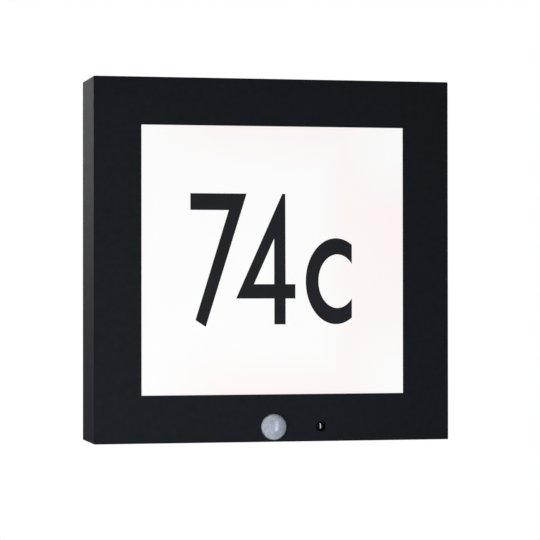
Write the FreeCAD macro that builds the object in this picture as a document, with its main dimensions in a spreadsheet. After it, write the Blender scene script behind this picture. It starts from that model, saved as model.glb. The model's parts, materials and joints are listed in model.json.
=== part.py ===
import FreeCAD, Part
import math
import os
import re
import Sketcher

# Outdoor wall light with a house number, a motion sensor and a daylight sensor.
# The frame: +X right, +Y into the wall, +Z up, origin at the middle of the wall plate's rear face.
# "Reach", "rear" and "front" are distances out from the wall, along -Y.

# Driving dimensions in millimetres
SIZES = {
    # front housing
    "window_size": 221.5,
    "front_border": 39.25,
    "front_reach": 64.0,
    "wall_gap": 1.0,
    "housing_gauge": 1.0,
    "bend_radius": 0.8,
    # clearances
    "sheet_fit": 0.6,
    "thread_fit": 0.1,
    "running_fit": 0.3,
    "seat_gap": 0.2,
    "overrun": 2.0,
    # wall plate and wall gasket
    "plate_gauge": 1.2,
    "border_lift": 3.0,
    "border_width": 12.4,
    "flange_reach": 22.0,
    "dish_radius": 22.0,
    "wall_slot_inset": 11.0,
    "wall_slot_length": 9.0,
    "wall_slot_width": 5.2,
    "gasket_inset": 0.5,
    # cable grommet
    "entry_drop": 30.0,
    "grommet_bore": 4.5,
    "grommet_sleeve": 7.0,
    "grommet_neck": 10.0,
    "grommet_flange": 13.0,
    "grommet_flange_gauge": 2.0,
    "grommet_length": 13.0,
    # cover screws and their nuts
    "cover_screw_inset": 50.0,
    "cover_screw_reach": 12.0,
    "cover_screw_radius": 2.0,
    "cover_screw_length": 9.0,
    "cover_head_radius": 4.0,
    "cover_head_height": 2.3,
    "cover_slot_play": 0.5,
    "cover_nut_radius": 4.0,
    "cover_nut_depth": 4.0,
    # diffuser, its gasket and its retainers
    "window_recess": 2.0,
    "panel_gauge": 3.0,
    "panel_overlap": 7.25,
    "gasket_set_back": 1.0,
    "retainer_gauge": 1.2,
    "retainer_grip": 5.5,
    "retainer_fit": 0.5,
    "retainer_flange": 9.3,
    "retainer_end_gap": 0.5,
    "stud_radius": 1.5,
    "stud_length": 8.0,
    "stud_pitch": 60.0,
    "stud_nut_radius": 3.2,
    "stud_nut_depth": 2.4,
    # house number
    "film_gauge": 0.3,
    "digit_height": 108.0,
    "digit_base": -53.0,
    "seven_left": -69.8,
    "four_left": -31.5,
    "letter_across": 53.3,
    "letter_half_width": 25.8,
    "letter_half_height": 35.7,
    "letter_bowl_half_width": 16.2,
    "letter_bowl_half_height": 22.3,
    "letter_bowl_shift": 1.2,
    "letter_mouth": 13.6,
    # driver
    "driver_across": -35.0,
    "driver_up": 51.0,
    "driver_length": 130.0,
    "driver_height": 42.0,
    "driver_depth": 19.0,
    "driver_base_depth": 9.0,
    "driver_wall": 1.5,
    "driver_boss": 0.7,
    "driver_board_gauge": 1.6,
    "driver_board_play": 0.5,
    "driver_boss_radius": 3.0,
    "driver_lead_below": 5.0,
    "driver_lead_above": 7.0,
    "driver_headroom": 3.8,
    "ear_length": 9.0,
    "ear_width": 12.0,
    "ear_gauge": 2.5,
    # terminal block
    "terminal_across": 65.0,
    "terminal_up": -31.0,
    "terminal_height": 28.0,
    "terminal_depth": 13.8,
    "terminal_margin": 2.0,
    "pole_pitch": 12.0,
    "pole_gap": 1.0,
    "pole_gap_depth": 5.0,
    "well_radius": 2.6,
    "well_depth": 4.0,
    "well_offset": 7.0,
    "terminal_screw_radius": 1.3,
    "terminal_screw_length": 2.8,
    "terminal_head_radius": 2.2,
    "terminal_head_height": 1.6,
    # earth stud, lug, washer and nut
    "earth_across": 104.0,
    "earth_up": -30.0,
    "earth_stud_radius": 2.0,
    "earth_stud_length": 11.0,
    "earth_base_radius": 4.0,
    "earth_base_gauge": 1.0,
    "lug_gauge": 0.8,
    "lug_radius": 4.0,
    "lug_tongue": 9.0,
    "lug_barrel_radius": 1.9,
    "lug_barrel_length": 6.0,
    "washer_gauge": 0.8,
    "washer_radius": 4.4,
    "earth_nut_radius": 4.0,
    "earth_nut_depth": 3.2,
    # leads and their clips
    "lead_radius": 1.2,
    "lead_lift": 5.3,
    "lead_bite": 6.0,
    "led_lead_radius": 0.8,
    "red_turn_out": 4.5,
    "black_turn_out": 10.5,
    "clip_wall": 1.3,
    "clip_length": 5.0,
    "supply_clip_up": 5.0,
    "earth_clip_up": -11.0,
    "sensor_clip_up": -58.0,
    "led_clip_up": 25.0,
    # small screws that hold the driver and the sensor bracket to the wall plate
    "plate_screw_radius": 1.5,
    "plate_head_radius": 2.8,
    "plate_head_height": 2.0,
    # carrier for the light strips, its spacers and its screws
    "carrier_gauge": 1.5,
    "lead_hole_radius": 2.2,
    "lead_hole_inset": 5.0,
    "lead_hole_up": 3.0,
    "spacer_radius": 4.5,
    "carrier_screw_radius": 2.0,
    "carrier_screw_length": 12.0,
    "carrier_head_radius": 4.0,
    "carrier_head_height": 2.5,
    # reflector frame
    "reflector_gauge": 0.8,
    "reflector_taper": 5.6,
    "reflector_gap": 0.9,
    "reflector_clear": 0.5,
    "reflector_flange": 12.0,
    # light strips
    "strip_width": 12.0,
    "strip_gauge": 1.6,
    "strip_end_gap": 10.0,
    "row_inset": 10.0,
    "chip_inset": 14.0,
    "chip_length": 3.5,
    "chip_width": 2.8,
    "chip_gauge": 0.7,
    "jumper_inset": 4.0,
    "jumper_bite": 3.0,
    "strip_head_radius": 2.8,
    "strip_head_height": 1.8,
    # sensor bracket
    "sensor_bay": 29.0,
    "bay_gap": 4.0,
    "bracket_gauge": 1.2,
    "bracket_half": 52.0,
    "bracket_foot": 12.0,
    "bracket_window_play": 2.0,
    # sensor board, what stands on it and its screws
    "sensor_set_back": 18.0,
    "sensor_board_gauge": 1.6,
    "sensor_board_half": 50.0,
    "sensor_board_height": 26.2,
    "sensor_board_gap": 0.8,
    "board_screw_inset": 3.7,
    "board_screw_radius": 1.2,
    "board_head_radius": 2.2,
    "board_head_height": 1.6,
    "pyro_radius": 4.6,
    "pyro_depth": 4.2,
    "pyro_window": 3.4,
    "pyro_window_depth": 0.3,
    "relay_across": 22.5,
    "relay_width": 18.0,
    "relay_height": 15.0,
    "relay_depth": 12.5,
    "plug_across": 30.0,
    "plug_width": 12.0,
    "plug_height": 10.0,
    "plug_depth": 6.4,
    # motion lens and its cup
    "dome_inset": 12.25,
    "dome_radius": 10.7,
    "dome_gap": 0.5,
    "dome_set_back": 2.0,
    "lens_gauge": 0.8,
    "lens_skirt": 7.0,
    "lens_flange_gauge": 1.0,
    "lens_flange_lip": 0.2,
    "cup_gauge": 1.1,
    "dome_notch_gap": 1.5,
    # daylight light guide and photo cell
    "daylight_across": 39.8,
    "daylight_radius": 3.8,
    "daylight_gap": 0.35,
    "daylight_foot_radius": 5.0,
    "daylight_foot_gauge": 1.2,
    "daylight_round": 0.5,
    "cell_radius": 2.5,
    "cell_depth": 1.6,
    # setting knobs and their housings
    "first_knob": 19.5,
    "knob_pitch": 11.5,
    "knob_radius": 4.2,
    "knob_depth": 5.0,
    "knob_slot_width": 1.1,
    "knob_slot_depth": 1.6,
    "knob_housing_half": 5.25,
    "knob_housing_depth": 4.0,
    "knob_floor": 1.2,
}

# Sizes that follow from the driving ones
RULES = {
    "front_half": "window_size / 2 + front_border",
    "housing_inside": "front_half - housing_gauge",
    "sheet_inside": "front_reach - housing_gauge",
    "plate_half": "housing_inside - sheet_fit",
    "tray_half": "plate_half - plate_gauge",
    "pan_half": "plate_half - border_width",
    "pan_inside": "pan_half - plate_gauge",
    "border_front": "border_lift + plate_gauge",
    "wall_slot_place": "pan_half - wall_slot_inset",
    "grommet_rear": "border_lift - grommet_flange_gauge",
    "cover_screw_place": "front_half - cover_screw_inset",
    "panel_half": "window_size / 2 + panel_overlap",
    "panel_front": "front_reach - window_recess",
    "panel_rear": "panel_front - panel_gauge",
    "grip_inner": "panel_half - retainer_grip",
    "web_inner": "panel_half + retainer_fit",
    "web_outer": "web_inner + retainer_gauge",
    "retainer_outer": "web_outer + retainer_flange",
    "stud_place": "web_outer + retainer_flange / 2",
    "carrier_rear": "plate_gauge + driver_depth + driver_headroom",
    "carrier_front": "carrier_rear + carrier_gauge",
    "carrier_half": "front_half - sensor_bay - bay_gap",
    "reflector_mouth": "grip_inner - reflector_gap",
    "reflector_back": "reflector_mouth - reflector_taper",
    "reflector_inner": "reflector_back - reflector_flange",
    "reflector_front": "panel_rear - reflector_clear",
    "spacer_place": "reflector_back - reflector_flange / 2",
    "strip_half": "reflector_inner - strip_end_gap",
    "top_row": "reflector_inner - row_inset",
    "strip_front": "carrier_front + strip_gauge",
    "driver_left": "driver_across - driver_length / 2",
    "driver_right": "driver_across + driver_length / 2",
    "driver_low": "driver_up - driver_height / 2",
    "driver_high": "driver_up + driver_height / 2",
    "driver_seam": "plate_gauge + driver_base_depth",
    "driver_front": "plate_gauge + driver_depth",
    "driver_board_rear": "plate_gauge + driver_wall + driver_boss",
    "driver_board_front": "driver_board_rear + driver_board_gauge",
    "ear_front": "plate_gauge + ear_gauge",
    "ear_low": "driver_up - ear_width / 2",
    "ear_high": "driver_up + ear_width / 2",
    "ear_screw_place": "driver_length / 2 + ear_length / 2",
    "terminal_front": "plate_gauge + terminal_depth",
    "terminal_low": "terminal_up - terminal_height / 2",
    "terminal_high": "terminal_up + terminal_height / 2",
    "well_floor": "terminal_front - well_depth",
    "lead_reach": "plate_gauge + lead_lift",
    "red_turn": "driver_left - red_turn_out",
    "black_turn": "driver_left - black_turn_out",
    "lug_rear": "plate_gauge + earth_base_gauge",
    "lug_axis": "lug_rear + lug_barrel_radius",
    "bay_top": "-(front_half - sensor_bay)",
    "bracket_low": "-(tray_half - sheet_fit)",
    "sensor_front": "front_reach - sensor_set_back",
    "sensor_rear": "sensor_front - sensor_board_gauge",
    "board_low": "-(housing_inside - sensor_board_gap)",
    "board_high": "board_low + sensor_board_height",
    "board_middle": "board_low + sensor_board_height / 2",
    "board_screw_across": "sensor_board_half - board_screw_inset",
    "dome_up": "-(front_half - dome_inset)",
    "dome_middle": "front_reach - dome_set_back",
    "lens_flange_radius": "dome_radius + lens_flange_lip",
    "lens_skirt_rear": "dome_middle - lens_skirt",
    "lens_rear": "lens_skirt_rear - lens_flange_gauge",
    "foot_screw_across": "bracket_half + bracket_foot / 2",
    "foot_screw_up": "bay_top - bracket_foot / 2",
    "knob_well_floor": "sensor_front + knob_floor",
    "knob_rear": "knob_well_floor + seat_gap",
}

SIDES = (-1, 1)
STUDS_PER_SIDE = 4
ROWS = 4
CHIPS_PER_ROW = 8
POLES = 3
KNOBS = ("reach_knob", "time_knob", "twilight_knob")
HEAD_TOP_SHARE = 0.7
SOCKET_SHARE = 0.45
KNOB_SLOT_SHARE = 0.75
BEND_SHARE = 0.45

# Outline points as shares of the digit's height: across from its left edge, up from its base
SEVEN_SHARES = [(0, 1), (0.437, 1), (0.118, -0.017), (0.039, 0.035), (0.298, 0.873), (0, 0.873)]
FOUR_SHARES = [(0.362, 1), (0.385, 1), (0.387, 0.308), (0.464, 0.308), (0.464, 0.198),
               (0.387, 0.198), (0.387, 0), (0.299, 0), (0.299, 0.198), (0, 0.198)]
FOUR_EYE_SHARES = [(0.298, 0.658), (0.298, 0.308), (0.139, 0.308)]

# Parts on the driver's board: place and size along its length, then up it, then out from it
BOX_SHARES = [(-0.08, 0.02, 0.17, 0.58, 0.86), (0.31, 0.00, 0.10, 0.44, 0.66),
              (-0.24, 0.24, 0.07, 0.20, 0.50)]
CAN_SHARES = [(0.15, 0.20, 0.040, 0.90), (0.15, -0.20, 0.040, 0.90), (-0.37, -0.04, 0.055, 0.55)]

# Rotations that turn a solid's own +Z
OUTWARD = FreeCAD.Rotation(FreeCAD.Vector(1, 0, 0), 90)
UPWARD = FreeCAD.Rotation()
DOWNWARD = FreeCAD.Rotation(FreeCAD.Vector(1, 0, 0), 180)
# The same as OUTWARD, with the solid's own +X turned up
TALL = FreeCAD.Rotation(FreeCAD.Vector(0, 0, 1), FreeCAD.Vector(-1, 0, 0), FreeCAD.Vector(0, -1, 0))

document = FreeCAD.newDocument("WallLight")
sheet = document.addObject("Spreadsheet::Sheet", "Sizes")
for row, (word, size) in enumerate(SIZES.items(), start=1):
    sheet.set(f"A{row}", word)
    sheet.set(f"B{row}", str(size))
    sheet.setAlias(f"B{row}", word)
document.recompute()


def bound(formula):
    """The formula with each of its words read from the sheet."""
    def read(match):
        word = match.group()
        if word in RULES:
            return f"({bound(RULES[word])})"
        return f"Sizes.{word}"
    return re.sub(r"[a-z_]+", read, formula)


def measure(formula):
    """The formula's present value."""
    return float(sheet.evalExpression(bound(formula)))


# Sketched pieces

def piece(label):
    """A new body whose label names its file."""
    body = document.addObject("PartDesign::Body", label)
    body.Label = label
    return body


def pin_point(sketch, curve, end, across, up):
    """Hold one point of a sketched curve at a place worked out from the sheet."""
    for kind, formula in (("DistanceX", across), ("DistanceY", up)):
        held = sketch.addConstraint(Sketcher.Constraint(kind, -1, 1, curve, end, measure(formula)))
        sketch.setExpression(f"Constraints[{held}]", bound(formula))


def path(points):
    """A closed outline of straight lines through the points."""
    def draw(sketch):
        corners = [FreeCAD.Vector(measure(across), measure(up), 0) for across, up in points]
        lines = []
        for start, corner in enumerate(corners):
            line = Part.LineSegment(corner, corners[(start + 1) % len(corners)])
            lines.append(sketch.addGeometry(line, False))
        for start, line in enumerate(lines):
            following = lines[(start + 1) % len(lines)]
            sketch.addConstraint(Sketcher.Constraint("Coincident", line, 2, following, 1))
        for line, (across, up) in zip(lines, points):
            pin_point(sketch, line, 1, across, up)
    return draw


def box(left, right, low, high):
    """A rectangle between two places across and two places up."""
    return path([(left, low), (right, low), (right, high), (left, high)])


def square(half):
    """A square about the origin."""
    return box(f"-({half})", half, f"-({half})", half)


def disc(across, up, radius):
    """A circle."""
    def draw(sketch):
        middle = FreeCAD.Vector(measure(across), measure(up), 0)
        circle = Part.Circle(middle, FreeCAD.Vector(0, 0, 1), measure(radius))
        curve = sketch.addGeometry(circle, False)
        pin_point(sketch, curve, 3, across, up)
        held = sketch.addConstraint(Sketcher.Constraint("Radius", curve, measure(radius)))
        sketch.setExpression(f"Constraints[{held}]", bound(radius))
    return draw


def slot(across, up, length, width):
    """A slot with round ends that runs across."""
    def draw(sketch):
        radius = measure(f"({width}) / 2")
        arcs = []
        for side in SIDES:
            middle = FreeCAD.Vector(measure(f"{across} + {side} * ({length} - {width}) / 2"), measure(up), 0)
            circle = Part.Circle(middle, FreeCAD.Vector(0, 0, 1), radius)
            first = -side * math.pi / 2
            arcs.append(sketch.addGeometry(Part.ArcOfCircle(circle, first, first + math.pi), False))
        left, right = (sketch.Geometry[arc] for arc in arcs)
        top = sketch.addGeometry(Part.LineSegment(right.EndPoint, left.StartPoint), False)
        bottom = sketch.addGeometry(Part.LineSegment(left.EndPoint, right.StartPoint), False)
        turns = [(arcs[1], top), (top, arcs[0]), (arcs[0], bottom), (bottom, arcs[1])]
        for ending, following in turns:
            sketch.addConstraint(Sketcher.Constraint("Tangent", ending, 2, following, 1))
        sketch.addConstraint(Sketcher.Constraint("Equal", arcs[0], arcs[1]))
        held = sketch.addConstraint(Sketcher.Constraint("Radius", arcs[1], radius))
        sketch.setExpression(f"Constraints[{held}]", bound(f"({width}) / 2"))
        for side, arc in zip(SIDES, arcs):
            pin_point(sketch, arc, 3, f"{across} + {side} * ({length} - {width}) / 2", up)
    return draw


def drawing(body, name, level, outlines, plane="XZ_Plane"):
    """A sketch on one of the body's planes, moved along the plane's normal to a level."""
    planes = {feature.Role: feature for feature in body.Origin.OriginFeatures}
    sketch = body.newObject("Sketcher::SketchObject", f"{body.Name}_{name}_outline")
    sketch.AttachmentSupport = (planes[plane], "")
    sketch.MapMode = "FlatFace"
    sketch.setExpression("AttachmentOffset.Base.z", bound(level))
    for draw in outlines:
        draw(sketch)
    return sketch


def raised(body, name, start, end, *outlines, plane="XZ_Plane"):
    """Material from one level to a further one."""
    feature = body.newObject("PartDesign::Pad", f"{body.Name}_{name}")
    feature.Profile = drawing(body, name, start, outlines, plane)
    feature.setExpression("Length", bound(f"({end}) - ({start})"))
    body.Tip = feature
    return feature


def sunk(body, name, start, end, *outlines, plane="XZ_Plane"):
    """A pocket whose floor is at one level and whose mouth is at a further one."""
    feature = body.newObject("PartDesign::Pocket", f"{body.Name}_{name}")
    feature.Profile = drawing(body, name, end, outlines, plane)
    feature.setExpression("Length", bound(f"({end}) - ({start})"))
    body.Tip = feature
    return feature


def tapered(body, kind, name, start, start_half, end, end_half):
    """A loft from one square to another, as material or as a hollow."""
    feature = body.newObject(kind, f"{body.Name}_{name}")
    feature.Profile = drawing(body, f"{name}_start", start, [square(start_half)])
    feature.Sections = [drawing(body, f"{name}_end", end, [square(end_half)])]
    body.Tip = feature
    return feature


def corners(place):
    """The four places at the same distance from both middle lines."""
    return [(f"{side} * ({place})", f"{level} * ({place})") for side in SIDES for level in SIDES]


# Pieces of plain solids

def place(solid, across, reach, up, turn=OUTWARD):
    """Stand a solid at a place, its own +Z turned as given."""
    solid.Placement = FreeCAD.Placement(FreeCAD.Vector(), turn)
    solid.setExpression("Placement.Base.x", bound(across))
    solid.setExpression("Placement.Base.y", bound(f"-({reach})"))
    solid.setExpression("Placement.Base.z", bound(up))
    return solid


def solid(kind, name, **sizes):
    """One primitive with its sizes bound to the sheet."""
    made = document.addObject(kind, name)
    for size, formula in sizes.items():
        made.setExpression(size, bound(formula))
    return made


def rod(name, radius, start, end, across, up):
    """A round solid square to the wall, from one reach to a further one."""
    made = solid("Part::Cylinder", name, Radius=radius, Height=f"({end}) - ({start})")
    return place(made, across, start, up)


def brick(name, left, right, rear, front, low, high):
    """A block between two places along each axis."""
    sizes = {"Length": f"({right}) - ({left})", "Width": f"({front}) - ({rear})",
             "Height": f"({high}) - ({low})"}
    return place(solid("Part::Box", name, **sizes), left, front, low, UPWARD)


def hexagon(name, radius, depth):
    """A six-sided solid, by its radius to the corners."""
    made = solid("Part::Prism", name, Circumradius=radius, Height=depth)
    made.Polygon = 6
    return made


def cut(label, base, tool):
    """The base without the tool."""
    made = document.addObject("Part::Cut", label)
    made.Base = base
    made.Tool = tool
    return made


def joined(label, parts):
    """Several solids made one."""
    made = document.addObject("Part::MultiFuse", label)
    made.Shapes = parts
    return made


def group(label, parts):
    """Separate solids that share one node."""
    made = document.addObject("Part::Compound", label)
    made.Links = parts
    return made


def screw(name, across, reach, up, head_radius, head_height, radius, length, turn=OUTWARD):
    """A button-head screw with a hexagon socket, placed by the plane under its head."""
    head = solid("Part::Cone", f"{name}_head", Radius1=head_radius,
                 Radius2=f"{head_radius} * {HEAD_TOP_SHARE}", Height=head_height)
    shank = solid("Part::Cylinder", f"{name}_shank", Radius=radius, Height=length)
    shank.setExpression("Placement.Base.z", bound(f"-({length})"))
    socket = hexagon(f"{name}_socket", f"{head_radius} * {SOCKET_SHARE}", head_height)
    socket.setExpression("Placement.Base.z", bound(f"{head_height} * {SOCKET_SHARE}"))
    return place(cut(name, joined(f"{name}_blank", [head, shank]), socket), across, reach, up, turn)


def nut(name, across, reach, up, radius, depth, bore, turn=OUTWARD):
    """A hexagon nut, placed by its rear face."""
    hole = solid("Part::Cylinder", f"{name}_hole", Radius=bore, Height=depth)
    return place(cut(name, hexagon(f"{name}_blank", radius, depth), hole), across, reach, up, turn)


# Cover: front housing

def front_housing():
    body = piece("front_housing")
    block = raised(body, "block", "wall_gap", "front_reach", square("front_half"))
    document.recompute()
    rim = -measure("wall_gap")
    edges = [f"Edge{number}" for number, edge in enumerate(block.Shape.Edges, start=1)
             if any(abs(end.Y - rim) > measure("bend_radius") for end in edge.Vertexes)]
    bend = body.newObject("PartDesign::Fillet", "front_housing_bend")
    bend.Base = (block, edges)
    bend.setExpression("Radius", bound("bend_radius"))
    body.Tip = bend
    sunk(body, "inside", "wall_gap", "sheet_inside", square("housing_inside"))
    sunk(body, "window", "sheet_inside", "front_reach", square("window_size / 2"))
    sunk(body, "sensor_holes", "sheet_inside", "front_reach",
         disc("0", "dome_up", "dome_radius + dome_gap"),
         disc("daylight_across", "dome_up", "daylight_radius + daylight_gap"))
    cover_screw_slots(body)
    return body


def cover_screw_slots(body):
    """Slots open to the rear rim, through the top and the bottom wall."""
    half = "(cover_screw_radius + cover_slot_play)"
    places = [f"{side} * cover_screw_place" for side in SIDES]
    mouths = [box(f"{across} - {half}", f"{across} + {half}", "-cover_screw_reach", "0") for across in places]
    ends = [disc(across, "-cover_screw_reach", half) for across in places]
    low = "-(front_half + overrun)"
    high = "front_half + overrun"
    sunk(body, "slot_mouths", low, high, *mouths, plane="XY_Plane")
    sunk(body, "slot_ends", low, high, *ends, plane="XY_Plane")


# Cover: diffuser, gasket, retainers and their studs

def diffuser_panel():
    body = piece("diffuser_panel")
    raised(body, "sheet", "panel_rear", "panel_front", square("panel_half"))
    return body


def diffuser_gasket():
    body = piece("diffuser_gasket")
    raised(body, "ring", "panel_front", "sheet_inside",
           square("panel_half"), square("window_size / 2 + gasket_set_back"))
    return body


def stud_offsets():
    """Places of one retainer's studs along its length."""
    return [f"stud_pitch * {2 * index + 1 - STUDS_PER_SIDE} / 2" for index in range(STUDS_PER_SIDE)]


def stud_rows():
    """Places of each retainer's studs, across and up."""
    rows = {}
    for name, side in (("retainer_bottom", -1), ("retainer_top", 1)):
        rows[name] = [(along, f"{side} * stud_place") for along in stud_offsets()]
    for name, side in (("retainer_left", -1), ("retainer_right", 1)):
        rows[name] = [(f"{side} * stud_place", along) for along in stud_offsets()]
    return rows


def retainer(label, side, upright):
    """A Z-section strip that grips one edge of the diffuser."""
    section = [("grip_inner", "panel_rear - retainer_gauge"),
               ("web_outer", "panel_rear - retainer_gauge"),
               ("web_outer", "sheet_inside - retainer_gauge"),
               ("retainer_outer", "sheet_inside - retainer_gauge"),
               ("retainer_outer", "sheet_inside"),
               ("web_inner", "sheet_inside"),
               ("web_inner", "panel_rear"),
               ("grip_inner", "panel_rear")]
    body = piece(label)
    if upright:
        half = "grip_inner - retainer_end_gap"
        outline = path([(f"{side} * ({out})", f"-({reach})") for out, reach in section])
        raised(body, "strip", f"-({half})", half, outline, plane="XY_Plane")
    else:
        half = "retainer_outer"
        outline = path([(f"-({reach})", f"{side} * ({out})") for out, reach in section])
        raised(body, "strip", f"-({half})", half, outline, plane="YZ_Plane")
    holes = [disc(across, up, "stud_radius + running_fit") for across, up in stud_rows()[label]]
    sunk(body, "stud_holes", "sheet_inside - retainer_gauge", "sheet_inside", *holes)
    return body


def retainer_bottom():
    """The bottom retainer is notched round the motion lens."""
    body = retainer("retainer_bottom", -1, False)
    sunk(body, "lens_notch", "sheet_inside - retainer_gauge", "sheet_inside",
         disc("0", "dome_up", "dome_radius + dome_notch_gap"))
    return body


def retainer_studs():
    studs = [rod("stud", "stud_radius", "sheet_inside - stud_length", "sheet_inside", across, up)
             for places in stud_rows().values() for across, up in places]
    return group("retainer_studs", studs)


def retainer_nuts():
    reach = "sheet_inside - retainer_gauge - stud_nut_depth"
    nuts = [nut("stud_nut", across, reach, up, "stud_nut_radius", "stud_nut_depth",
                "stud_radius + thread_fit")
            for places in stud_rows().values() for across, up in places]
    return group("retainer_nuts", nuts)


# Cover: house number

def digit(label, left, shares):
    """One digit of thin black film on the diffuser."""
    body = piece(label)
    points = [(f"{left} + digit_height * {across}", f"digit_base + digit_height * {up}")
              for across, up in shares]
    raised(body, "film", "panel_front", "panel_front + film_gauge", path(points))
    return body


def digit_seven():
    return digit("digit_seven", "seven_left", SEVEN_SHARES)


def digit_four():
    body = digit("digit_four", "four_left", FOUR_SHARES)
    eye = [(f"four_left + digit_height * {across}", f"digit_base + digit_height * {up}")
           for across, up in FOUR_EYE_SHARES]
    sunk(body, "eye", "panel_front", "panel_front + film_gauge", path(eye))
    return body


def oval(name, half_width, half_height, across):
    """A plate of the film's thickness with an upright oval outline."""
    ring = solid("Part::Ellipse", f"{name}_ring", MajorRadius=half_height, MinorRadius=half_width)
    place(ring, across, "panel_front", "digit_base + letter_half_height", TALL)
    plate = document.addObject("Part::Extrusion", name)
    plate.Base = ring
    plate.DirMode = "Custom"
    plate.Dir = FreeCAD.Vector(0, -1, 0)
    plate.Solid = True
    plate.setExpression("LengthFwd", bound("film_gauge"))
    return plate


def letter_c():
    """The small letter: an oval with a narrower bowl, cut upright at its mouth."""
    outer = oval("letter_outer", "letter_half_width", "letter_half_height", "letter_across")
    bowl = oval("letter_bowl", "letter_bowl_half_width", "letter_bowl_half_height",
                "letter_across + letter_bowl_shift")
    mouth = brick("letter_mouth", "letter_across + letter_mouth",
                  "letter_across + 2 * letter_half_width", "panel_front", "panel_front + film_gauge",
                  "digit_base", "digit_base + 2 * letter_half_height")
    return cut("letter_c", outer, joined("letter_tools", [bowl, mouth]))


# Base: wall plate, wall gasket and cable grommet

def wall_plate():
    body = piece("wall_plate")
    raised(body, "border", "border_lift", "flange_reach", square("plate_half"))
    sunk(body, "tray", "border_front", "flange_reach", square("tray_half"))
    raised(body, "pan", "0", "border_front", square("pan_half"))
    sunk(body, "pan_hollow", "plate_gauge", "border_front", square("pan_inside"))
    raised(body, "dish", "0", "border_front", disc("0", "-entry_drop", "dish_radius"))
    sunk(body, "dish_hollow", "0", "border_lift", disc("0", "-entry_drop", "dish_radius - plate_gauge"))
    sunk(body, "entry_hole", "border_lift", "border_front",
         disc("0", "-entry_drop", "grommet_neck + thread_fit"))
    slots = [slot(across, up, "wall_slot_length", "wall_slot_width")
             for across, up in corners("wall_slot_place")]
    sunk(body, "wall_slots", "0", "plate_gauge", *slots)
    screws = [disc(across, up, "plate_screw_radius + thread_fit") for across, up in plate_screw_places()]
    sunk(body, "screw_holes", "0", "plate_gauge", *screws)
    holes = [disc(f"{side} * cover_screw_place", "-cover_screw_reach", "cover_screw_radius + running_fit")
             for side in SIDES]
    sunk(body, "cover_screw_holes", "-plate_half", "plate_half", *holes, plane="XY_Plane")
    return body


def driver_screw_places():
    """Places of the screws through the driver's ears."""
    return [(f"driver_across + {side} * ear_screw_place", "driver_up") for side in SIDES]


def bracket_screw_places():
    """Places of the screws through the sensor bracket's feet."""
    return [(f"{side} * foot_screw_across", "foot_screw_up") for side in SIDES]


def plate_screw_places():
    """Places of all small screws in the wall plate."""
    return driver_screw_places() + bracket_screw_places()


def wall_gasket():
    body = piece("wall_gasket")
    raised(body, "ring", "0", "border_lift",
           square("plate_half - gasket_inset"), square("pan_half + gasket_inset"))
    return body


def cable_grommet():
    body = piece("cable_grommet")
    flange_front = "border_front + grommet_flange_gauge"
    sleeve_front = "grommet_rear + grommet_length"
    levels = [("rear_flange", "grommet_rear", "border_lift", "grommet_flange"),
              ("neck", "border_lift", "border_front", "grommet_neck"),
              ("front_flange", "border_front", flange_front, "grommet_flange"),
              ("sleeve", flange_front, sleeve_front, "grommet_sleeve")]
    for name, start, end, radius in levels:
        raised(body, name, start, end, disc("0", "-entry_drop", radius))
    sunk(body, "bore", "grommet_rear", sleeve_front, disc("0", "-entry_drop", "grommet_bore"))
    return body


# Base: cover screws and their nuts

def cover_screws():
    screws = []
    for across in SIDES:
        for level, turn in ((-1, DOWNWARD), (1, UPWARD)):
            screws.append(screw("cover_screw", f"{across} * cover_screw_place", "cover_screw_reach",
                                f"{level} * (front_half + seat_gap)", "cover_head_radius",
                                "cover_head_height", "cover_screw_radius", "cover_screw_length", turn))
    return group("cover_screws", screws)


def cover_nuts():
    nuts = []
    for across in SIDES:
        for level, turn in ((-1, DOWNWARD), (1, UPWARD)):
            nuts.append(nut("cover_nut", f"{across} * cover_screw_place", "cover_screw_reach",
                            f"{level} * (tray_half - cover_nut_depth)", "cover_nut_radius",
                            "cover_nut_depth", "cover_screw_radius + thread_fit", turn))
    return group("cover_nuts", nuts)


# Base: terminal block and earth connection

def pole_places():
    """Places of the terminal block's poles, across."""
    return [f"terminal_across + pole_pitch * {2 * index + 1 - POLES} / 2" for index in range(POLES)]


def well_places():
    """Places of the terminal screws."""
    return [(across, f"terminal_up + {side} * well_offset") for across in pole_places() for side in SIDES]


def terminal_block():
    body = piece("terminal_block")
    half = f"(pole_pitch * {POLES} / 2 + terminal_margin)"
    raised(body, "block", "plate_gauge", "terminal_front",
           box(f"terminal_across - {half}", f"terminal_across + {half}", "terminal_low", "terminal_high"))
    gaps = [box(f"{across} + (pole_pitch - pole_gap) / 2", f"{across} + (pole_pitch + pole_gap) / 2",
                "terminal_low", "terminal_high")
            for across in pole_places()[:-1]]
    sunk(body, "pole_gaps", "terminal_front - pole_gap_depth", "terminal_front", *gaps)
    wells = [disc(across, up, "well_radius") for across, up in well_places()]
    sunk(body, "wells", "well_floor", "terminal_front", *wells)
    threads = [disc(across, up, "terminal_screw_radius + thread_fit") for across, up in well_places()]
    sunk(body, "threads", "lead_reach", "well_floor", *threads)
    entries = [disc(across, "-lead_reach", "lead_radius + thread_fit") for across in pole_places()]
    sunk(body, "entries", "terminal_low", "terminal_high", *entries, plane="XY_Plane")
    return body


def terminal_screws():
    screws = [screw("terminal_screw", across, "well_floor", up, "terminal_head_radius",
                    "terminal_head_height", "terminal_screw_radius", "terminal_screw_length")
              for across, up in well_places()]
    return group("terminal_screws", screws)


def earth_stud():
    foot = rod("earth_foot", "earth_base_radius", "plate_gauge", "lug_rear", "earth_across", "earth_up")
    shank = rod("earth_shank", "earth_stud_radius", "plate_gauge", "plate_gauge + earth_stud_length",
                "earth_across", "earth_up")
    return joined("earth_stud", [foot, shank])


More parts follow.
